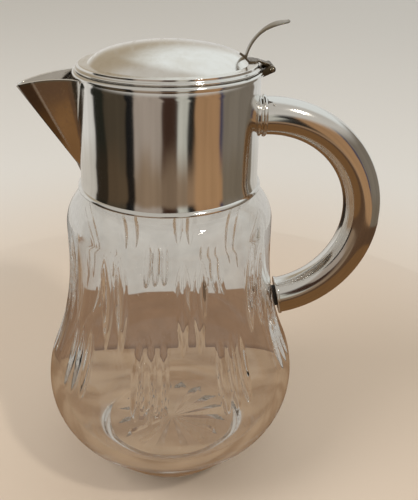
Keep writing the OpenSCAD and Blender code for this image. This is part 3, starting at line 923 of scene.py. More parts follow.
    def build(self) -> None:
        """Makes the crystal."""
        outer = turned(self.outside(), self.columns, loop=False).points
        for row in self.flutes():
            outer = row.cut(outer)
        inner = turned(self.inside(), self.inner_columns, loop=False).points
        base = self.base()
        ratio = self.columns // self.inner_columns
        first_outer = (outer.shape[0] - 1) * self.columns
        first_inner = outer.shape[0] * self.columns + (inner.shape[0] - 1) * self.inner_columns
        i = np.arange(self.inner_columns)[:, None]
        rim = first_outer + (i * ratio + np.arange(ratio + 1)) % self.columns
        bore = first_inner + (i + np.array([[1, 0]])) % self.inner_columns
        make_piece(
            "crystal_body",
            [Sheet(outer), Sheet(inner), Sheet(base)],
            CRYSTAL, Body.JUG, "glass_body", crease=32.0, extra=[np.hstack([rim, bore])],
        )

    def plaster(self, bore_r: float) -> None:
        """Makes the ring of plaster between the neck and the mount."""
        low, high = self.foot_z + 0.5, self.top_z - 0.5
        inner, outer = self.neck_r + 0.05, bore_r - 0.05
        profile = chain(
            straight((inner, low), (outer, low), 2),
            straight((outer, low), (outer, high), 4),
            straight((outer, high), (inner, high), 2),
            straight((inner, high), (inner, low), 4)[:-1],
        )
        make_piece("plaster_ring", [turned(profile, 160)], PLASTER, Body.JUG, "neck_cement")


# ---------------------------------------------------------------- mount


@dataclass
class Mount:
    """The straight silver mount with its mouldings at foot and rim."""

    foot_z: float
    r: float = 47.5
    sheet: float = 1.0
    height: float = 62.8
    flare_h: float = 9.0
    flare_out: float = 0.45
    flare_start: float = 2.2
    flare_power: float = 2.6
    shoulder_h: float = 4.6
    shoulder_in: float = 0.7
    shoulder_power: float = 2.2
    foot_r: float = 49.3
    foot_curve: float = 3.2
    foot_lip: float = 0.6
    foot_tilt: float = 24.0
    foot_turn: float = 62.0
    foot_h: float = 2.4
    top_bead_h: float = 2.8
    rim_r: float = 49.0
    rim_curve: float = 1.45
    window_sill: float = 13.0
    window_margin: float = 2.4
    window_columns: int = 24
    columns: int = 300

    @property
    def top_z(self) -> float:
        """Height of the mount's upper edge."""
        return self.foot_z + self.height

    def rim_moulding(self) -> np.ndarray:
        """Profile of the rim moulding: a quarter round that is cut under."""
        middle = (self.rim_r - self.rim_curve, self.top_z - self.rim_curve)
        return chain(
            (self.r - 0.02, self.top_z - self.top_bead_h + 0.3),
            arc(middle, self.rim_curve, -14, 86, 18),
            (self.r - 0.02, self.top_z),
        )

    def foot_moulding(self) -> np.ndarray:
        """Profile of the foot moulding: a broad round that faces up, over a small lip."""
        tilt, lip = radians(self.foot_tilt), self.foot_lip
        lip_middle = np.array([self.foot_r - lip, self.foot_z + lip])
        way = np.array([cos(tilt), sin(tilt)])
        broad_middle = lip_middle + (lip - self.foot_curve) * way
        return chain(
            (self.r - 0.03, self.foot_z),
            arc(tuple(lip_middle), lip, -90, self.foot_tilt, 10),
            arc(tuple(broad_middle), self.foot_curve, self.foot_tilt, self.foot_turn, 16),
            (self.r - 0.03, self.foot_z + self.foot_h),
        )

    def wall(self, spout: "Spout") -> Sheet:
        """The wall, with the window behind the spout left open.

        The foot spreads as r + out * (1 - u)^p and the shoulder under the rim
        moulding turns in as r - in * v^q, with u and v from 0 to 1 upwards.

        The columns behind the spout are set by their Y, which runs with t from
        -w(z) to w(z), the window's half-width; the others share the rest of
        the circle evenly. All rows use the same columns inside and outside.

        Args:
            spout: The spout, which sets the window's shape.

        Returns:
            The closed wall, ready for the window's edges.
        """
        u = np.linspace(0.0, 1.0, 15)
        bead_top = self.foot_z + self.flare_start
        foot = np.column_stack([
            self.r + self.flare_out * (1 - u) ** self.flare_power,
            bead_top + u * (self.foot_z + self.flare_h - bead_top),
        ])
        sill = spout.apex[2] + self.window_sill
        head = self.top_z - self.top_bead_h
        v = np.linspace(0.0, 1.0, 11)
        shoulder = np.column_stack([
            self.r - self.shoulder_in * v**self.shoulder_power,
            head - self.shoulder_h * (1 - v),
        ])
        outer = chain(
            (self.r + self.flare_out, self.foot_z),
            foot,
            straight(foot[-1], (self.r, sill), 6),
            straight((self.r, sill), shoulder[0], 8),
            shoulder,
            straight((self.r, head + 0.02), (self.r, self.top_z), 2),
        )
        bore = self.r - self.sheet
        inner = outer[::-1].copy()
        inner[:, 0] = bore
        profile = np.concatenate([outer, inner])
        r, z = profile[:, :1], profile[:, 1:]
        spread = spout.mouth_half / (spout.rim_top - spout.apex[2])
        half = (np.clip(z, sill, head) - spout.apex[2]) * spread - self.window_margin
        t = np.linspace(-1.0, 1.0, self.window_columns + 1)
        window = pi + np.arcsin(-t * half / r)
        rest = self.columns - self.window_columns - 1
        u = (np.arange(rest) + 1) / (rest + 1)
        last, first = window[:, -1:], window[:, :1]
        others = last + u * (first + 2 * pi - last) if window[0, 0] < window[0, -1] else (
            last - u * (last + 2 * pi - first)
        )
        a = np.hstack([window, others])
        points = np.stack([r * np.cos(a), r * np.sin(a), z + 0 * a], -1)
        open_row = (z[:, 0] >= sill - 1e-6) & (np.roll(z[:, 0], -1) >= sill - 1e-6)
        open_row &= (z[:, 0] <= head + 1e-6) & (np.roll(z[:, 0], -1) <= head + 1e-6)
        gap = np.zeros((len(profile), self.columns), bool)
        gap[open_row, : self.window_columns] = True
        return Sheet(points, loop=True, open_faces=gap)

    def window_edge(self, wall: Sheet) -> list[np.ndarray]:
        """Faces that close the wall's thickness round the window.

        Args:
            wall: The wall with its opening.

        Returns:
            One array of quads between the outer and the inner edge.
        """
        rows, columns = wall.points.shape[:2]
        index = np.arange(rows * columns).reshape(rows, columns)
        open_rows = np.flatnonzero(wall.open_faces[:, 0])
        half = rows // 2
        outer_rows = open_rows[open_rows < half]
        low, high = outer_rows[0], outer_rows[-1] + 1
        last = self.window_columns
        rim = np.concatenate([
            index[low, : last], index[low:high, last],
            index[high, last:0:-1], index[high:low:-1, 0],
        ])
        facing = index[::-1]
        bore = np.concatenate([
            facing[low, : last], facing[low:high, last],
            facing[high, last:0:-1], facing[high:low:-1, 0],
        ])
        return [np.stack([rim, np.roll(rim, -1), np.roll(bore, -1), bore], -1)]

    def build(self, spout: "Spout") -> None:
        """Makes the wall and the two mouldings."""
        wall = self.wall(spout)
        make_piece("mount_wall", [wall], SILVER, Body.JUG, "mount_band",
                   extra=self.window_edge(wall))
        make_piece("foot_moulding", [turned(self.foot_moulding(), 320)], SILVER, Body.JUG,
                   "mount_foot_bead")
        make_piece("rim_moulding", [turned(self.rim_moulding(), 320)], SILVER, Body.JUG,
                   "mount_top_bead")


# ---------------------------------------------------------------- spout


@dataclass
class Spout:
    """The beak: a bent sheet whose straight lines all start at its foot.

    Seen from above, half of its outside runs round a slim cone at the nose,
    along a flat side and out over a flare that meets the mount.
    """

    mount_r: float
    foot_z: float
    rim_top: float
    tip_reach: float = 78.5
    foot_up: float = 7.0
    mouth_w: float = 40.8
    rim_arch: float = 95.0
    arch_in: float = 2.5
    nose_angle: float = 6.6
    side_out: float = 3.0
    side_half_w: float = 15.4
    sheet: float = 1.2
    seam_out: float = 0.3
    seam_w: float = 0.7
    seam_shift: float = 0.28
    # Strength of the painted shade over the whole inside of the spout.
    inside_painted_shade: float = 0.7
    lines: int = 44
    flat_steps: int = 24
    steps: int = 48

    def __post_init__(self) -> None:
        """Works out the cones of the nose and the flare."""
        self.apex = np.array([0.3 - self.mount_r, 0.0, self.foot_z + self.foot_up])
        self.mouth_half = self.mouth_w / 2
        self.arch_x = self.mount_r - self.arch_in
        tip = np.array([-self.tip_reach, 0.0, self.rim_height(self.tip_reach)])
        out = self.mount_r + self.side_out
        side_end = np.array([-out, -self.side_half_w, self.rim_height(out)])
        mouth_x = sqrt(self.mount_r**2 - self.mouth_half**2)
        mouth_end = np.array([-mouth_x, -self.mouth_half, self.rim_height(mouth_x)])
        nose = radians(self.nose_angle)
        self.keel = unit(tip - self.apex)
        turned_keel = np.array([self.keel[2], 0.0, -self.keel[0]])
        self.nose_axis = cos(nose) * self.keel + sin(nose) * turned_keel
        self.side_line = unit(side_end - self.apex)
        self.flare_line = unit(mouth_end - self.apex)
        nose_side = square_to(self.side_line, self.nose_axis)
        tilt = acos(-sin(nose) / (nose_side @ self.nose_axis))
        self.side_normal = cos(tilt) * nose_side - sin(tilt) * np.cross(nose_side, self.side_line)
        self.flare = atan2(1 - self.side_line @ self.flare_line, self.side_normal @ self.flare_line)
        self.flare_axis = cos(self.flare) * self.side_line + sin(self.flare) * self.side_normal
        self.nose_inner = self.apex + self.sheet / sin(nose) * self.nose_axis
        self.flare_inner = self.apex - self.sheet / sin(self.flare) * self.flare_axis

    def rim_height(self, reach: float) -> float:
        """Height of the arched rim at a distance from the jug's axis."""
        return self.rim_top - self.rim_arch + sqrt(self.rim_arch**2 - (reach - self.arch_x) ** 2)

    def cone(self, axis: np.ndarray, angle: float, d0: np.ndarray, d1: np.ndarray,
             steps: int) -> np.ndarray:
        """Lines of a cone: cos A * axis + sin A * (u cos t + (axis x u) sin t).

        Args:
            axis: Axis of the cone.
            angle: Half-angle of the cone, in radians.
            d0: Direction of the first line.
            d1: Direction of the last line.
            steps: Number of steps between them.

        Returns:
            The unit directions.
        """
        u, v = square_to(axis, d0), square_to(axis, d1)
        way = np.sign(np.cross(u, v) @ axis)
        t = (way * acos(min(1.0, u @ v)) * np.linspace(0, 1, steps + 1))[:, None]
        ring = np.cos(t) * u + np.sin(t) * np.cross(axis, u)
        return cos(angle) * axis + sin(angle) * ring

    def rim_distance(self, start: np.ndarray, way: np.ndarray) -> np.ndarray:
        """Distance from start along each way to the arch of the rim."""
        x, z = start[..., 0] + self.arch_x, start[..., 2] - self.rim_top + self.rim_arch
        a = way[..., 0] ** 2 + way[..., 2] ** 2
        b = x * way[..., 0] + z * way[..., 2]
        c = x * x + z * z - self.rim_arch**2
        return (np.sqrt(b * b - a * c) - b) / a

    def mount_distance(self, start: np.ndarray, way: np.ndarray, r: float) -> np.ndarray:
        """Distance from start along each way to the last crossing of radius r."""
        a = way[..., 0] ** 2 + way[..., 1] ** 2
        b = start[..., 0] * way[..., 0] + start[..., 1] * way[..., 1]
        c = start[..., 0] ** 2 + start[..., 1] ** 2 - r * r
        root = b * b - a * c
        return np.where(root > 0, (np.sqrt(np.maximum(root, 0)) - b) / a, 0.0)

    def half(self) -> tuple[np.ndarray, np.ndarray]:
        """Start points and directions of the lines, outside and inside, of one half.

        Returns:
            Two arrays of shape (2, lines, 3): starts and directions, each with
            the outside first.
        """
        nose_end = unit(self.nose_axis + sin(radians(self.nose_angle)) * self.side_normal)
        n = self.lines
        nose = self.cone(self.nose_axis, radians(self.nose_angle), self.keel, nose_end, n)
        flare = self.cone(self.flare_axis, self.flare, self.side_line, self.flare_line, n)
        ways = np.concatenate([nose, flare])
        count = len(nose)
        outer = np.broadcast_to(self.apex, ways.shape)
        inner = np.concatenate([
            np.broadcast_to(self.nose_inner, nose.shape),
            np.broadcast_to(self.flare_inner, flare.shape),
        ])
        t = np.linspace(0, 1, self.flat_steps + 1)[1:-1, None]
        starts = np.stack([outer, inner])
        ends = starts + self.rim_distance(starts, ways[None])[..., None] * ways
        filled = []
        for rows in (starts, ends):
            last, first = rows[:, count - 1:count], rows[:, count:count + 1]
            between = last + t * (first - last)
            filled.append(np.concatenate([rows[:, :count], between, rows[:, count:]], 1))
        return filled[0], unit(filled[1] - filled[0])

    def seam(self, points: np.ndarray) -> tuple[np.ndarray, np.ndarray]:
        """How much each point belongs to a soldered seam of the nose, and to the nose.

        The seam's share is exp(-(d / w)^2), with d the distance to the nearer
        seam's straight line, and fades out near the spout's foot. The nose's
        share, which sets the painted shade on the nose, rises from 0 at the seam
        to 1 a little nearer the keel.

        Args:
            points: Points of the outside.

        Returns:
            Both shares, from 0 to 1 for each point.
        """
        nose_end = unit(self.nose_axis + sin(radians(self.nose_angle)) * self.side_normal)
        line = unit(nose_end + self.seam_shift * (self.side_line - nose_end))
        across = square_to(line, self.keel)
        mirror = np.where(points[..., 1:2] > 0, [1.0, -1.0, 1.0], 1.0)
        way = points - self.apex
        reach = np.linalg.norm(way, axis=-1)
        d = np.linalg.norm(np.cross(way, line * mirror), axis=-1)
        fade = np.clip((reach - 12.0) / 10.0, 0.0, 1.0)
        nose = np.clip((way * across * mirror).sum(-1) / 1.2, 0.0, 1.0)
        return np.exp(-((d / self.seam_w) ** 2)) * fade, nose * fade

    def build(self) -> None:
        """Makes the sheet: down the outside, over the round rim, down the inside."""
        starts, ways = self.half()
        mirror = np.array([1.0, -1.0, 1.0])
        starts = np.concatenate([starts[:, ::-1] * 1.0, starts[:, 1:] * mirror], 1)
        ways = np.concatenate([ways[:, ::-1] * 1.0, ways[:, 1:] * mirror], 1)
        far = self.rim_distance(starts, ways) - 0.5
        near = np.minimum(self.mount_distance(starts, ways, self.mount_r - 0.35), far)
        near = np.maximum(near, 0.0)
        t = np.linspace(0, 1, self.steps + 1)[:, None]
        outer = starts[0] + (near[0] + t * (far[0] - near[0]))[..., None] * ways[0]
        inner = starts[1] + (near[1] + t[::-1] * (far[1] - near[1]))[..., None] * ways[1]
        seam, nose = self.seam(outer)
        side = self.side_normal * np.where(outer[..., 1:2] > 0, [1.0, -1.0, 1.0], 1.0)
        outer = outer + self.seam_out * seam[..., None] * side
        a = np.radians(np.linspace(0, 180, 9))[1:-1, None, None]
        middle, half = (outer[-1] + inner[0]) / 2, (outer[-1] - inner[0]) / 2
        lip = middle + np.cos(a) * half + np.sin(a) * 0.5 * unit(ways[0] + ways[1])
        points = np.concatenate([outer, lip, inner])
        shares = {"seam": np.zeros(points.shape[:2]), "dusk": np.zeros(points.shape[:2])}
        shares["seam"][: len(outer)] = seam
        # Painted shade: on the nose by its share, and evenly over the inside of the spout.
        shares["dusk"][: len(outer)] = nose
        shares["dusk"][-len(inner):] = self.inside_painted_shade
        index = np.arange(points.shape[0] * points.shape[1]).reshape(points.shape[:2])
        ends = [index[:, 0][None], index[::-1, -1][None]]
        make_piece("spout_sheet", [Sheet(points, ring=False, loop=True)], SEAMED_SILVER,
                   Body.JUG, "spout_beak", crease=38.0, extra=ends, shares=shares)


# ---------------------------------------------------------------- handle


@dataclass
class Handle:
    """The bent tube with its socket, ferrule, end moulding, cap and pad."""

    mount_r: float
    top_z: float
    crystal: CrystalBody
    drop: float = 25.6
    tube_r: float = 10.3
    tube_wall: float = 1.2
    bend_r: float = 55.8
    end_tilt: float = 3.0
    end_space: float = 1.8
    vent_r: float = 0.6
    vent_in: float = 3.4
    vent_turn: float = -45.0
    vent_depth: float = 1.1
    ring_out: float = 1.1
    ferrule_w: float = 2.4
    groove_w: float = 0.7
    socket_out: float = 0.5
    end_ring_w: float = 1.6
    end_ring_out: float = 0.6
    cap_thick: float = 1.2
    pad_r: float = 6.0

    def __post_init__(self) -> None:
        """Works out the bend from the mount above and the crystal below."""
        crystal = self.crystal
        self.z = self.top_z - self.drop
        self.bend_z = self.z - self.bend_r
        slope = degrees(asin((crystal.waist_z - self.bend_z + self.bend_r) / crystal.waist_curve))
        self.end_angle = 90 - slope + self.end_tilt
        a = radians(self.end_angle)
        self.end_z = self.bend_z - self.bend_r * sin(a)
        side = float(crystal.side_r(np.array(self.end_z)))
        self.bend_x = side + self.end_space - self.bend_r * cos(a)
        self.socket_face = self.mount_r + self.socket_out
        self.ferrule_x = self.socket_face + self.groove_w
        self.tube_start = self.ferrule_x + self.ferrule_w
        self.ring_r = self.tube_r + self.ring_out
        self.end = np.array([self.bend_x + self.bend_r * cos(a), 0.0, self.end_z])
        self.out_way = np.array([-sin(a), 0.0, -cos(a)])

    def ring_profile(self, r_in: float, r_out: float, start: float, width: float,
                     rounding: float) -> np.ndarray:
        """Profile (x, r) of a ring with rounded outer edges."""
        near = arc((start + rounding, r_out - rounding), rounding, 180, 90, 8)
        far = arc((start + width - rounding, r_out - rounding), rounding, 90, 0, 8)
        return chain((start, r_in), near, far, (start + width, r_in))

    def bent(self, r: np.ndarray, stations: np.ndarray, turns: np.ndarray) -> np.ndarray:
        """Rings round the bend: centre + (bend_r + r cos t) * (cos a, sin a).

        Args:
            r: Radius of the tube, one number or one for each point.
            stations: Angles a along the bend.
            turns: Angles t round the tube, with 0 on the outside of the bend.

        Returns:
            The grid of points.
        """
        t, a = turns[None], stations[:, None]
        reach = self.bend_r + r * np.cos(t)
        return np.stack([
            self.bend_x + reach * np.cos(a), r * np.sin(t) + 0 * a, self.bend_z + reach * np.sin(a)
        ], -1)

    def build(self) -> None:
        """Makes the pieces, from the mount round to the crystal."""
        self.build_socket()
        self.build_tube()
        self.build_end()

    def build_socket(self) -> None:
        """Makes the socket, hollowed to the mount, and the ferrule."""
        core = self.tube_r - self.tube_wall - 0.05
        axis, origin = (1, 0, 0), (0, 0, self.z)
        back = self.mount_r - 2.0
        profile = chain(
            (back, core - 1.5), (back, self.ring_r - 0.3),
            arc((self.socket_face - 1.0, self.ring_r - 1.0), 1.0, 90, 0, 12),
            straight((self.socket_face, self.tube_r), (self.ferrule_x - 0.02, self.tube_r), 1),
            (self.ferrule_x - 0.02, core), (self.tube_start + 2.4, core),
            (self.tube_start + 2.4, core - 1.5),
        )
        sheet = turned_along(profile, origin, axis, 128)
        points = sheet.points.copy()
        surface = np.sqrt((self.mount_r - 0.3) ** 2 - points[..., 1] ** 2)
        near = points[..., 0] < back + 0.01
        points[..., 0] = np.where(near, surface, points[..., 0])
        make_piece("handle_socket_ring", [Sheet(points, loop=True)], SILVER, Body.JUG,
                   "handle_socket")
        ferrule = self.ring_profile(self.tube_r - self.tube_wall, self.ring_r, self.ferrule_x,
                                    self.ferrule_w, 1.1)
        make_piece("handle_ferrule_ring", [turned_along(ferrule, origin, axis, 128)], SILVER,
                   Body.JUG, "handle_ferrule")

    def build_tube(self) -> None:
        """Makes the bent tube: along its outside and back along its bore.

        Round the vent hole the grid is finer, and the outside sinks by
        vent_depth * (1 - smoothstep(d)), with d the distance from the hole's middle.
        """
        first = acos((self.tube_start - self.bend_x) / self.bend_r)
        last = -radians(self.end_angle)
        near = first - 1.8 * self.vent_in / self.bend_r
        forward = np.concatenate([np.linspace(first, near, 50), np.linspace(near, last, 176)[1:]])
        vent = radians(self.vent_turn) % (2 * pi)
        turns = np.sort(np.concatenate([
            np.linspace(0, 2 * pi, 116, endpoint=False) + 0.003,
            vent + np.linspace(-0.075, 0.075, 17),
        ]))
        along = (first - forward[:, None]) * (self.bend_r + self.tube_r * cos(vent)) - self.vent_in
        d = np.hypot(along, self.tube_r * (turns[None] - vent))
        share = np.clip((d - 0.6 * self.vent_r) / (0.5 * self.vent_r), 0.0, 1.0)
        sunk = self.vent_depth * (1 - share * share * (3 - 2 * share))
        outer = self.bent(self.tube_r - sunk, forward, turns)
        inner = self.bent(np.array(self.tube_r - self.tube_wall), forward[::-25], turns)
        for sheet_points in (outer, inner):
            start = 0 if sheet_points is outer else -1
            sheet_points[start, :, 0] = self.tube_start
        make_piece("handle_bend", [Sheet(np.concatenate([outer, inner]), loop=True)], SILVER,
                   Body.JUG, "handle_tube")

    def build_end(self) -> None:
        """Makes the end moulding, the cap in the tube's end and the pad."""
        r_in = self.tube_r + 0.05
        ring = self.ring_profile(r_in, r_in + self.end_ring_out, -self.end_ring_w,
                                 self.end_ring_w, 0.5)
        make_piece("end_moulding", [turned_along(ring, self.end, self.out_way, 128)], SILVER,
                   Body.JUG, "handle_end_ring")
        cap_r = self.tube_r - self.tube_wall - 0.05
        cap = chain((-self.cap_thick, 0), (-self.cap_thick, cap_r),
                    arc((-0.3, cap_r - 0.3), 0.3, 90, 0, 4), (0, 0))
        make_piece("end_disc", [turned_along(cap, self.end, self.out_way, 96, loop=False)],
                   DARK_SILVER, Body.JUG, "handle_end_cap")
        radii = np.linspace(0, self.pad_r, 9)
        back = np.column_stack([np.full(9, 0.02), radii])
        front = turned_along(back[::-1], self.end, self.out_way, 72, loop=False).points
        gap = np.zeros(front.shape[:2])
        for _ in range(12):
            at = front + gap[..., None] * self.out_way
            gap += np.hypot(at[..., 0], at[..., 1]) - self.crystal.side_r(at[..., 2]) - 0.12
        front = front + gap[..., None] * self.out_way
        base = turned_along(back, self.end, self.out_way, 72, loop=False).points
        make_piece("buffer_pad", [Sheet(np.concatenate([base, front]))], PAD, Body.JUG,
                   "handle_pad")


# ---------------------------------------------------------------- lid


@dataclass
class Lid:
    """The domed lid: rim with its hollow, flat band, dome and bezel."""

    mount_r: float
    sheet_r: float
    rim_z: float
    roll_h: float = 1.2
    cove_r: float = 1.0
    band_w: float = 4.7
    dome_h: float = 10.0
    edge_curve: float = 24.0
    crown_curve: float = 120.0
    sheet: float = 0.8
    ring_w: float = 4.0
    bezel_h: float = 4.0
    bezel_gap: float = 0.5
    bezel_wall: float = 0.8

    def __post_init__(self) -> None:
        """Works out where the dome's two arcs touch."""
        self.shelf_z = self.rim_z + self.roll_h + self.cove_r
        self.band_z = self.shelf_z + self.sheet
        self.shelf_r = self.mount_r - self.roll_h / 2 - self.cove_r
        foot = np.array([self.shelf_r - self.band_w, self.band_z])
        self.crown = np.array([0.0, self.band_z + self.dome_h - self.crown_curve])
        line, gap = foot - self.crown, self.crown_curve - self.edge_curve
        dist = float(np.linalg.norm(line))
        along = (gap**2 - self.edge_curve**2 + dist**2) / (2 * dist)
        aside = sqrt(gap**2 - along**2)
        self.edge = self.crown + (along * line + aside * np.array([-line[1], line[0]])) / dist
        self.crown_angle = degrees(atan2(*(self.edge - self.crown)[::-1]))

    def dome_line(self, out: float, steps: int = 14) -> np.ndarray:
        """Profile of the dome, moved out, from the band to the top."""
        start = degrees(asin((self.band_z + out - self.edge[1]) / (self.edge_curve + out)))
        return chain(
            arc(tuple(self.edge), self.edge_curve + out, start, self.crown_angle, steps),
            arc(tuple(self.crown), self.crown_curve + out, self.crown_angle, 90, 2 * steps),
        )

    def height(self, r: np.ndarray, out: float = 0.0) -> np.ndarray:
        """Height of the band and dome, moved out, at a distance from the axis."""
        line = self.dome_line(out, 30)[::-1]
        return np.interp(r, line[:, 0], line[:, 1], right=self.band_z + out)

    def build(self) -> None:
        """Makes the dome, the rim and the bezel."""
        edge_r = self.shelf_r - 0.05
        outer = self.dome_line(0.0)
        inner = self.dome_line(-self.sheet)[::-1]
        crown = chain(
            inner, (inner[-1][0], self.shelf_z), (edge_r, self.shelf_z),
            arc((edge_r - 0.35, self.band_z - 0.35), 0.35, 0, 90, 6),
            straight((edge_r - 0.35, self.band_z), outer[0], 4), outer,
        )
        make_piece("lid_crown", [turned(crown, 256, loop=False)], WORN_SILVER, Body.LID,
                   "lid_dome")
        roll_r = self.roll_h / 2
        roll_x = self.mount_r - roll_r
        back = self.mount_r - self.ring_w
        rim = chain(
            (back, self.shelf_z), (back, self.rim_z),
            arc((roll_x, self.rim_z + roll_r), roll_r, -90, 90, 14),
            arc((roll_x, self.rim_z + self.roll_h + self.cove_r), self.cove_r, 270, 180, 10),
        )
        make_piece("lid_edge", [turned(rim, 320)], SILVER, Body.LID, "lid_rim")
        r = self.sheet_r - self.bezel_gap
        low = self.rim_z - self.bezel_h
        bezel = chain(
            (r - self.bezel_wall, self.rim_z), (r - self.bezel_wall, low + 0.3),
            arc((r - self.bezel_wall + 0.3, low + 0.3), 0.3, 180, 270, 4),
            arc((r - 0.3, low + 0.3), 0.3, 270, 360, 4), (r, self.rim_z),
        )
        make_piece("lid_collar", [turned(bezel, 256)], SILVER, Body.LID, "lid_bezel")


# ---------------------------------------------------------------- hinge and thumb piece


@dataclass
class Hinge:
    """Bracket, pin, leaf and thumb piece."""

    mount: Mount
    lid: Lid
    pin_out: float = 4.7
    pin_r: float = 0.8
    knuckle_r: float = 1.8
    mid_w: float = 7.4
    side_w: float = 4.0
    gap: float = 0.3
    head_r: float = 1.5
    web_drop: float = 3.6
    leaf_thick: float = 0.8
    leaf_w: float = 13.0
    leaf_reach: float = 16.0
    thumb_in: float = 12.6
    thumb_curve: float = 23.0
    thumb_pad_out: float = 2.6
    thumb_lean: float = 8.0
    lip_curve: float = 4.0
    thumb_thick: float = 1.1
    stem_w: float = 5.6
    thumb_w: float = 13.0

    def __post_init__(self) -> None:
        """Places the pin."""
        self.pin_x = self.mount.r + self.pin_out
        self.pin_z = self.lid.rim_z
        self.side_y = self.mid_w / 2 + self.gap
        self.half = self.side_y + self.side_w

    def build(self) -> None:
        """Makes all four pieces."""
        self.build_bracket()
        self.build_pin()
        self.build_leaf()
        self.build_thumb()

    def knuckle(self, low: float, high: float) -> Sheet:
        """A barrel round the pin, with rounded ends."""
        k, edge = self.knuckle_r, 0.25
        profile = chain(
            (low, 0), (low, k - edge), arc((low + edge, k - edge), edge, 180, 90, 4),
            arc((high - edge, k - edge), edge, 90, 0, 4), (high, 0),
        )
        return turned_along(profile, (self.pin_x, 0, self.pin_z), (0, 1, 0), 40, loop=False)

    def build_bracket(self) -> None:
        """Makes the bracket: a web under the lid's knuckle and two cheeks."""
        inside = self.mount.r + 0.12
        low_z = self.mount.top_z - self.web_drop
        top = self.pin_z - 0.35
        k = self.knuckle_r
        cheek = chain(
            (inside, low_z), arc((self.pin_x, self.pin_z), k, -42, 130, 10), (inside, top)
        )
        space = k + self.gap
        web = chain(
            (inside, low_z), (self.pin_x + 0.9, self.pin_z - space - 0.3),
            (self.pin_x - space, self.pin_z - space), (inside, self.pin_z - space + 0.5),
        )
        sheets = [
            plate(dense(cheek, 0.8), self.side_y, self.half, 0.25),
            plate(dense(cheek, 0.8), -self.half, -self.side_y, 0.25),
            plate(dense(web, 0.8), -self.side_y - 0.2, self.side_y + 0.2, 0.1),
        ]
        make_piece("hinge_bracket", sheets, DARK_SILVER, Body.JUG, "hinge_lug", crease=45.0)

    def build_pin(self) -> None:
        """Makes the pin with its two riveted heads."""
        y = self.half
        dome = arc((y - 0.75, 0), self.head_r, 0, 60, 8)[::-1]
        near = dome * np.array([-1, 1])
        profile = chain(near[::-1], (-y, self.pin_r), (y, self.pin_r), dome)
        profile[:, 1] = np.maximum(profile[:, 1], 0)
        rod = turned_along(profile, (self.pin_x, 0, self.pin_z), (0, 1, 0), 40, loop=False)
        make_piece("hinge_rod", [rod], THUMB_SILVER, Body.JUG, "hinge_pin")

    def build_leaf(self) -> None:
        """Makes the leaf on the lid, its strap and the lid's knuckle.

        The leaf's top lies leaf_thick above the dome and falls to it at its
        edge as 1 - (1 - d)^2, where d is the distance in from the edge.
        """
        half = self.mid_w / 2
        point = self.pin_x - self.leaf_reach
        wide = self.lid.shelf_r - self.lid.band_w / 2
        end = self.lid.shelf_r - 0.05
        corners_x = [point, wide - self.leaf_w / 5, wide, end]
        corners_w = [0.02, self.leaf_w / 2, self.leaf_w / 2, half]
        x = np.concatenate([np.linspace(point, wide, 26), np.linspace(wide, end, 8)[1:]])
        w = np.interp(x, corners_x, corners_w)[:, None]
        u = np.linspace(-1, 1, 29)[None]
        y, xx = w * u, x[:, None] + 0 * u
        r = np.hypot(xx, y)
        ground = self.lid.height(np.minimum(r, end))
        depth = np.minimum(w * (1 - np.abs(u)), 1.0) / 1.0
        rise = self.leaf_thick * np.sqrt(np.clip(1 - (1 - depth) ** 2, 0, 1))
        top = np.stack([xx, y, ground + 0.03 + rise], -1)
        under = np.stack([xx, y, ground + 0.03 + 0 * u], -1)
        ring = np.concatenate([top, under[:, ::-1]], 1)
        leaf = Sheet(ring, ring=True, start_cap=True, end_cap=True)
        k, band = self.knuckle_r, self.lid.band_z
        strap = chain(
            (end - 2, band + 0.06), (end, band + 0.06), (self.pin_x - k, self.pin_z + 0.2),
            (self.pin_x, self.pin_z), (self.pin_x, self.pin_z + k),
            (end, band + self.leaf_thick), (end - 2, band + self.leaf_thick),
        )
        sheets = [leaf, plate(dense(strap, 0.7), -half, half, 0.2), self.knuckle(-half, half)]
        make_piece("lid_leaf", sheets, DARK_SILVER, Body.LID, "hinge_leaf", crease=45.0)

    def build_thumb(self) -> None:
        """Makes the thumb piece: a thin strip bent up and back over the hinge.

        Its cross-section is a flat superellipse, w cos t by (thick / 2) sin t
        with powers of 0.55, whose half-width w follows the outline from above.
        """
        stem_x = self.pin_x - self.thumb_in - 1.0
        start = 180 - self.thumb_lean
        level = 95.0
        foot = radians(start)
        centre = np.array([stem_x - self.thumb_curve * cos(foot),
                           self.lid.band_z + self.leaf_thick - self.thumb_curve * sin(foot)])
        mid = self.thumb_curve - self.thumb_thick / 2
        main = arc(tuple(centre), mid, start + 3.0, level, 60)
        tip = centre + mid * np.array([cos(radians(level)), sin(radians(level))])
        lip_centre = tip + self.lip_curve * np.array([cos(radians(level)), sin(radians(level))])
        lip = arc(tuple(lip_centre), self.lip_curve, level + 180, level + 214, 14)
        pad_x, pad_r, half = self.pin_x + self.thumb_pad_out, self.thumb_w / 2, self.stem_w / 2
        line = chain(main, lip)
        line = line[line[:, 0] < pad_x + 0.998 * pad_r]
        way = unit(np.gradient(line, axis=0))
        side = np.column_stack([-way[:, 1], way[:, 0]])
        stem_end = stem_x + 0.6 * self.thumb_in
        join = pad_x - 0.25 * pad_r
        stem = np.interp(line[:, 0], [stem_end, join], [half, 0.96 * pad_r])
        round_end = np.sqrt(np.maximum(pad_r**2 - (line[:, 0] - pad_x) ** 2, 0.0))
        width = np.where(line[:, 0] > join, round_end, stem)
        t = np.linspace(0, 2 * pi, 48, endpoint=False)[None]
        across = np.sign(np.cos(t)) * np.abs(np.cos(t)) ** 0.35
        through = np.sign(np.sin(t)) * np.abs(np.sin(t)) ** 0.7
        thick = self.thumb_thick / 2
        fade = np.clip(width / 2.0, 0.35, 1.0)[:, None]
        x = line[:, :1] + thick * fade * through * side[:, :1]
        z = line[:, 1:] + thick * fade * through * side[:, 1:]
        y = width[:, None] * across
        make_piece("thumb_lever", [Sheet(np.stack([x, y + 0 * x, z], -1), start_cap=True,
                                         end_cap=True)],
                   THUMB_SILVER, Body.LID, "thumb_piece", crease=50.0)


# ---------------------------------------------------------------- studio


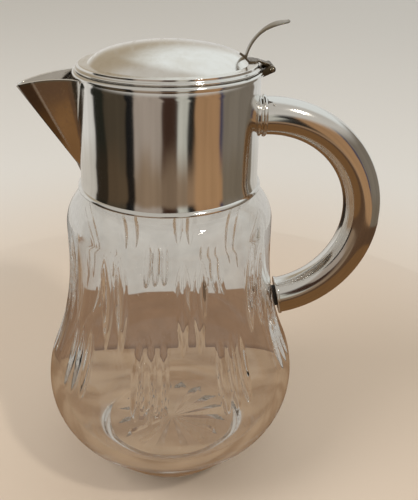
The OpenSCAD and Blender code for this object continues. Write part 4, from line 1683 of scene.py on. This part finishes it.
@dataclass(frozen=True)
class PaleFloor(Finish):
    """Plain pale floor, warm under the jug and cooler away from it."""

    near: Colour = (0.72, 0.60, 0.49)
    far: Colour = (0.80, 0.775, 0.745)
    near_r: float = 0.16
    far_r: float = 0.55

    def draw(self, nodes: Nodes) -> None:
        """The colour follows the distance from the jug's axis."""
        reach = nodes.add("VectorMath", operation="LENGTH", Vector=nodes.place())
        share = nodes.spread(reach.outputs["Value"], self.near_r, self.far_r)
        colour = nodes.mixed(share, self.near, self.far)
        nodes.surface(nodes.add("BsdfPrincipled", Roughness=0.6, Base_Color=colour))


@dataclass(frozen=True)
class Band:
    """One card: its end angle, its colour high up and its colour low down."""

    end: float
    high: Colour
    low: Colour


@dataclass(frozen=True)
class RoomCards(Finish):
    """Ring of soft cards, pale and dark by turns, that polished metal mirrors.

    The colour follows the angle round the jug, atan2(x, -y), with an edge that
    wavers a little, and changes from low to high between two heights. Above
    fade_low it gives way to the sky. Inside the ring a brown card lies just
    above the floor. Rays through the crystal mostly meet calmer colours.
    """

    bands: tuple[Band, ...] = ()
    soft: float = 1.1
    waver: float = 0.035
    ring_r: float = 0.30
    low_z: float = 0.082
    high_z: float = 0.128
    fade_low: float = 0.24
    fade_high: float = 0.34
    under: Colour = (0.18, 0.092, 0.037)
    lower: Colour = (0.10, 0.055, 0.03)
    lower_h: float = 0.045
    shade: Colour = (0.030, 0.022, 0.016)
    shade_h: float = 0.066
    patch: Colour = (0.42, 0.295, 0.19)
    other_patch: Colour = (0.30, 0.195, 0.12)
    calm_top: Colour = (0.50, 0.46, 0.41)
    through_share: float = 0.85

    def stops(self, low: bool) -> tuple[tuple[float, Colour], ...]:
        """Places and colours of the bands, each with soft edges."""
        found: list[tuple[float, Colour]] = []
        start = -180.0
        for band in self.bands:
            colour = band.low if low else band.high
            found.append(((start + self.soft + 180) / 360, colour))
            found.append(((band.end - self.soft + 180) / 360, colour))
            start = band.end
        return tuple(found)

    def calm(self, nodes: Nodes, place: Socket, up: Socket) -> Socket:
        """Two browns in long soft patches under a pale tone."""
        along = nodes.stretched(place, (9.0, 42.0, 42.0))
        noise = nodes.texture("Noise", along, Scale=1.0, Detail=2.0)
        low = nodes.mixed(nodes.spread(noise, 0.40, 0.60), self.patch, self.other_patch)
        return nodes.mixed(nodes.spread(up, 0.045, 0.085), low, self.calm_top)

    def mirrored(
        self, nodes: Nodes, turn: Socket, height: Socket, up: Socket, reach: Socket
    ) -> Socket:
        """The bands, with brown under them and a dark stretch low on one side.

        Args:
            nodes: Short-hand for the tree.
            turn: Angle round the jug, as a share of a whole turn.
            height: Height with the waver of the edges.
            up: Height above the floor.
            reach: Distance from the jug's axis.

        Returns:
            The colour socket.
        """
        share = nodes.spread(height, self.low_z, self.high_z)
        colour = nodes.mixed(share, nodes.ramp(turn, self.stops(True)),
                             nodes.ramp(turn, self.stops(False)))
        out = nodes.spread(reach, self.ring_r - 0.012, self.ring_r - 0.002)
        low = nodes.mixed(out, self.under, self.lower)
        colour = nodes.mixed(nodes.spread(up, self.lower_h - 0.003, self.lower_h), low, colour)
        beside = nodes.maths("MULTIPLY", nodes.spread(turn, 0.21, 0.17),
                             nodes.spread(reach, 0.15, 0.24))
        beside = nodes.maths("MULTIPLY", beside,
                             nodes.spread(up, self.shade_h, self.shade_h - 0.004))
        return nodes.mixed(beside, colour, self.shade)

    def draw(self, nodes: Nodes) -> None:
        """Emission by angle, height and distance, clear above the cards."""
        place = nodes.place()
        x, y, up = nodes.axes(place)
        flat = nodes.maths("MULTIPLY", y, -1.0)
        noise = nodes.texture("Noise", place, Scale=14.0, Detail=2.0)
        shift = nodes.maths("MULTIPLY", nodes.maths("SUBTRACT", noise, 0.5), self.waver)
        turn = nodes.maths("DIVIDE", nodes.maths("ARCTAN2", x, flat), 2 * pi)
        turn = nodes.maths("ADD", nodes.maths("ADD", turn, 0.5), shift)
        height = nodes.maths("ADD", up, nodes.maths("MULTIPLY", shift, 1.5))
        reach = nodes.maths("SQRT", nodes.maths("ADD", nodes.maths("POWER", x, 2.0),
                                                nodes.maths("POWER", flat, 2.0)))
        room = self.mirrored(nodes, turn, height, up, reach)
        depth = nodes.add("LightPath").outputs["Transmission Depth"]
        share = nodes.maths("MULTIPLY", nodes.maths("MINIMUM", depth, 1.0), self.through_share)
        streak = nodes.stretched(place, (32.0, 32.0, 6.0))
        grain = nodes.texture("Noise", streak, Scale=1.0, Detail=3.0)
        gain = nodes.maths("ADD", nodes.maths("MULTIPLY", grain, 0.5), 0.75)
        colour = nodes.mixed(share, room, self.calm(nodes, place, up))
        glow = nodes.add("Emission", Color=colour, Strength=gain)
        mix = nodes.add("MixShader", Fac=nodes.spread(up, self.fade_low, self.fade_high))
        nodes.feed(mix.inputs[1], glow.outputs[0])
        nodes.feed(mix.inputs[2], nodes.add("BsdfTransparent").outputs[0])
        nodes.surface(mix)


@dataclass(frozen=True)
class WallCard(Finish):
    """Card, pale above and brown below, which only rays through the crystal meet."""

    upper: Colour = (0.52, 0.49, 0.445)
    lower: Colour = (0.235, 0.14, 0.085)
    foot: Colour = (0.13, 0.075, 0.05)
    lower_h: float = 0.0535

    def draw(self, nodes: Nodes) -> None:
        """Emission by height, a little uneven."""
        place = nodes.place()
        up = nodes.maths("MULTIPLY", nodes.axes(place)[2], 10.0)
        edge = 10.0 * self.lower_h
        colour = nodes.ramp(up, ((0.0, self.foot), (0.05, self.lower), (edge, self.lower),
                                 (edge + 0.01, self.upper)))
        grain = nodes.texture("Noise", place, Scale=90.0, Detail=4.0)
        gain = nodes.maths("ADD", nodes.maths("MULTIPLY", grain, 0.4), 0.8)
        nodes.surface(nodes.add("Emission", Color=colour, Strength=gain))


@dataclass
class Studio:
    """Floor, cards, lamps, sky and camera."""

    floor_r: float = 4.0
    floor_gap: float = 0.0003
    card_r: float = 0.30
    card_h: float = 0.36
    card_low: float = -0.0001
    bands: tuple[Band, ...] = (
        Band(-97, (0.72, 0.70, 0.66), (0.58, 0.54, 0.48)),
        Band(-77, (0.018, 0.018, 0.013), (0.030, 0.022, 0.014)),
        Band(-49, (0.068, 0.052, 0.034), (0.10, 0.068, 0.040)),
        Band(-38, (0.010, 0.010, 0.010), (0.014, 0.011, 0.009)),
        Band(-8, (0.37, 0.31, 0.26), (0.27, 0.19, 0.125)),
        Band(8, (0.045, 0.022, 0.014), (0.21, 0.145, 0.095)),
        Band(21, (0.52, 0.51, 0.45), (0.27, 0.19, 0.125)),
        Band(29, (0.015, 0.014, 0.013), (0.29, 0.185, 0.11)),
        Band(59, (0.37, 0.215, 0.11), (0.40, 0.235, 0.12)),
        Band(64, (0.05, 0.05, 0.09), (0.38, 0.22, 0.11)),
        Band(120, (0.20, 0.17, 0.135), (0.18, 0.145, 0.105)),
        Band(180, (0.66, 0.65, 0.62), (0.60, 0.57, 0.52)),
    )
    zenith: Colour = (0.60, 0.57, 0.52)
    horizon: Colour = (0.76, 0.725, 0.67)
    glow: Colour = (0.88, 0.91, 0.89)
    glow_way: Point = (0.40, 0.58, 0.70)
    glow_edge: float = 0.72
    glow_full: float = 0.90
    dim: Colour = (0.44, 0.37, 0.27)
    dim_way: Point = (-0.50, 0.80, 0.33)
    dim_edge: float = 0.62
    dim_full: float = 0.95
    wall_y: float = 0.084
    eye: Point = (2.73, -313.88, 294.47)
    yaw: float = 0.0593
    pitch: float = -0.3584
    roll: float = 0.0151
    lens: float = 44.18
    shift: float = -0.161
    bounces: int = 40

    def build(self) -> None:
        """Makes everything that isn't part of the jug."""
        self.build_floor()
        self.build_cards()
        self.build_sky()
        self.build_lamps()
        self.build_camera()
        cycles = bpy.context.scene.cycles
        cycles.glossy_bounces = cycles.transmission_bounces = self.bounces
        cycles.max_bounces = 2 * self.bounces

    def staged(self, name: str, sheet: Sheet, finish: Finish) -> bpy.types.Object:
        """A stage piece from one sheet given in metres."""
        mesh = mesh_of(name, [Sheet(sheet.points / MM, sheet.ring, sheet.loop)])
        mesh.shade_smooth()
        mesh.materials.append(finish.material())
        piece = bpy.data.objects.new(name, mesh)
        bpy.context.scene.collection.objects.link(piece)
        return piece

    def build_floor(self) -> None:
        """A wide disc under the jug."""
        profile = np.column_stack([
            np.array([0, 0.1, 0.4, 1.2, self.floor_r]), np.full(5, -self.floor_gap)
        ])
        disc = turned(profile[::-1], 96, loop=False)
        self.staged("floor", disc, PaleFloor("pale_floor", Slot.PLASTER))

    def build_cards(self) -> None:
        """The ring of cards; only the polished metal and the crystal see it."""
        profile = chain(
            straight((0.0, self.card_low), (self.card_r, self.card_low), 3),
            straight((self.card_r, self.card_low), (self.card_r, self.card_h), 3),
        )
        cards = RoomCards("room_cards", Slot.PLASTER, bands=self.bands, ring_r=self.card_r)
        ring = self.staged("room_cards", turned(profile, 128, loop=False), cards)
        x, z = np.meshgrid([-0.29, 0.29], [0.0, self.card_h])
        flat = np.stack([x, np.full_like(x, self.wall_y), z], -1)
        wall = self.staged("wall_card", Sheet(flat, ring=False),
                           WallCard("wall_card", Slot.PLASTER))
        wall.visible_glossy = False
        for card in (ring, wall):
            card.visible_camera = False
            card.visible_diffuse = False
            card.visible_volume_scatter = False
            card.visible_shadow = False

    def build_sky(self) -> None:
        """Soft light all round, paler towards glow_way and darker towards dim_way.

        Either share is the direction's dot product with its way, spread from
        its edge to its full value.
        """
        world = bpy.data.worlds.new("soft_room")
        world.use_nodes = True
        world.node_tree.nodes.clear()
        nodes = Nodes(world.node_tree)
        way = nodes.add("TexCoord").outputs["Generated"]
        colour = nodes.ramp(nodes.axes(way)[2], ((0.05, self.horizon), (0.7, self.zenith)))
        for tint, toward, edge, full in (
            (self.dim, self.dim_way, self.dim_edge, self.dim_full),
            (self.glow, self.glow_way, self.glow_edge, self.glow_full),
        ):
            near = nodes.add("VectorMath", operation="DOT_PRODUCT", Vector=way)
            nodes.feed(near.inputs[1], Vector(toward).normalized())
            share = nodes.spread(near.outputs["Value"], edge, full)
            colour = nodes.mixed(share, colour, tint)
        back = nodes.add("Background", Strength=0.9, Color=colour)
        nodes.add("OutputWorld", Surface=back.outputs[0])
        bpy.context.scene.world = world

    def lamp(self, name: str, place: Sequence[float], size: float, power: float,
             colour: Colour, mirrored: bool) -> None:
        """A round soft lamp that shines at the jug's middle, mirrored by it or not."""
        light = bpy.data.lights.new(name, "AREA")
        light.shape = "DISK"
        light.size = size
        light.energy = power
        light.color = colour
        lamp = bpy.data.objects.new(name, light)
        lamp.visible_glossy = lamp.visible_transmission = mirrored
        way = Vector((0, 0, 0.13)) - Vector(place)
        turn = way.to_track_quat("-Z", "Y").to_matrix().to_4x4()
        lamp.matrix_world = Matrix.Translation(place) @ turn
        bpy.context.scene.collection.objects.link(lamp)

    def build_lamps(self) -> None:
        """A broad lamp at the left and a small warm one high at the right."""
        self.lamp("broad_lamp", (-1.3, -0.5, 1.5), 1.0, 14.0, (1.0, 0.98, 0.95), False)
        self.lamp("small_lamp", (0.75, -0.75, 1.3), 0.14, 6.0, (1.0, 0.95, 0.86), True)

    def build_camera(self) -> None:
        """The camera, where the picture was taken from."""
        data = bpy.data.cameras.new("camera")
        data.sensor_width = 36.0
        data.lens = self.lens
        data.shift_y = self.shift
        data.clip_start, data.clip_end = 0.01, 50.0
        ahead = np.array([sin(self.yaw) * cos(self.pitch), cos(self.yaw) * cos(self.pitch),
                          sin(self.pitch)])
        right = np.array([cos(self.yaw), -sin(self.yaw), 0.0])
        up = np.cross(right, ahead)
        right_rolled = right * cos(self.roll) + up * sin(self.roll)
        up_rolled = -right * sin(self.roll) + up * cos(self.roll)
        turn = Matrix(np.column_stack([right_rolled, up_rolled, -ahead]).tolist())
        camera = bpy.data.objects.new("camera", data)
        camera.matrix_world = Matrix.Translation(Vector(self.eye) * MM) @ turn.to_4x4()
        bpy.context.scene.collection.objects.link(camera)
        bpy.context.scene.camera = camera


def main() -> None:
    """Builds the jug and the studio in order."""
    logging.basicConfig(level=logging.INFO, format="%(name)s: %(message)s")
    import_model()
    crystal = CrystalBody()
    crystal.build()
    mount = Mount(foot_z=crystal.foot_z)
    crystal.plaster(mount.r - mount.sheet)
    spout = Spout(mount.r, mount.foot_z, mount.top_z - mount.top_bead_h - 0.3)
    mount.build(spout)
    spout.build()
    Handle(mount.r, mount.top_z, crystal).build()
    lid = Lid(mount.r, mount.r - mount.sheet, mount.top_z + 0.3)
    lid.build()
    Hinge(mount, lid).build()
    Studio().build()
    bpy.context.scene.view_settings.view_transform = "Standard"
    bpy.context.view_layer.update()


if __name__ == "__main__":
    main()
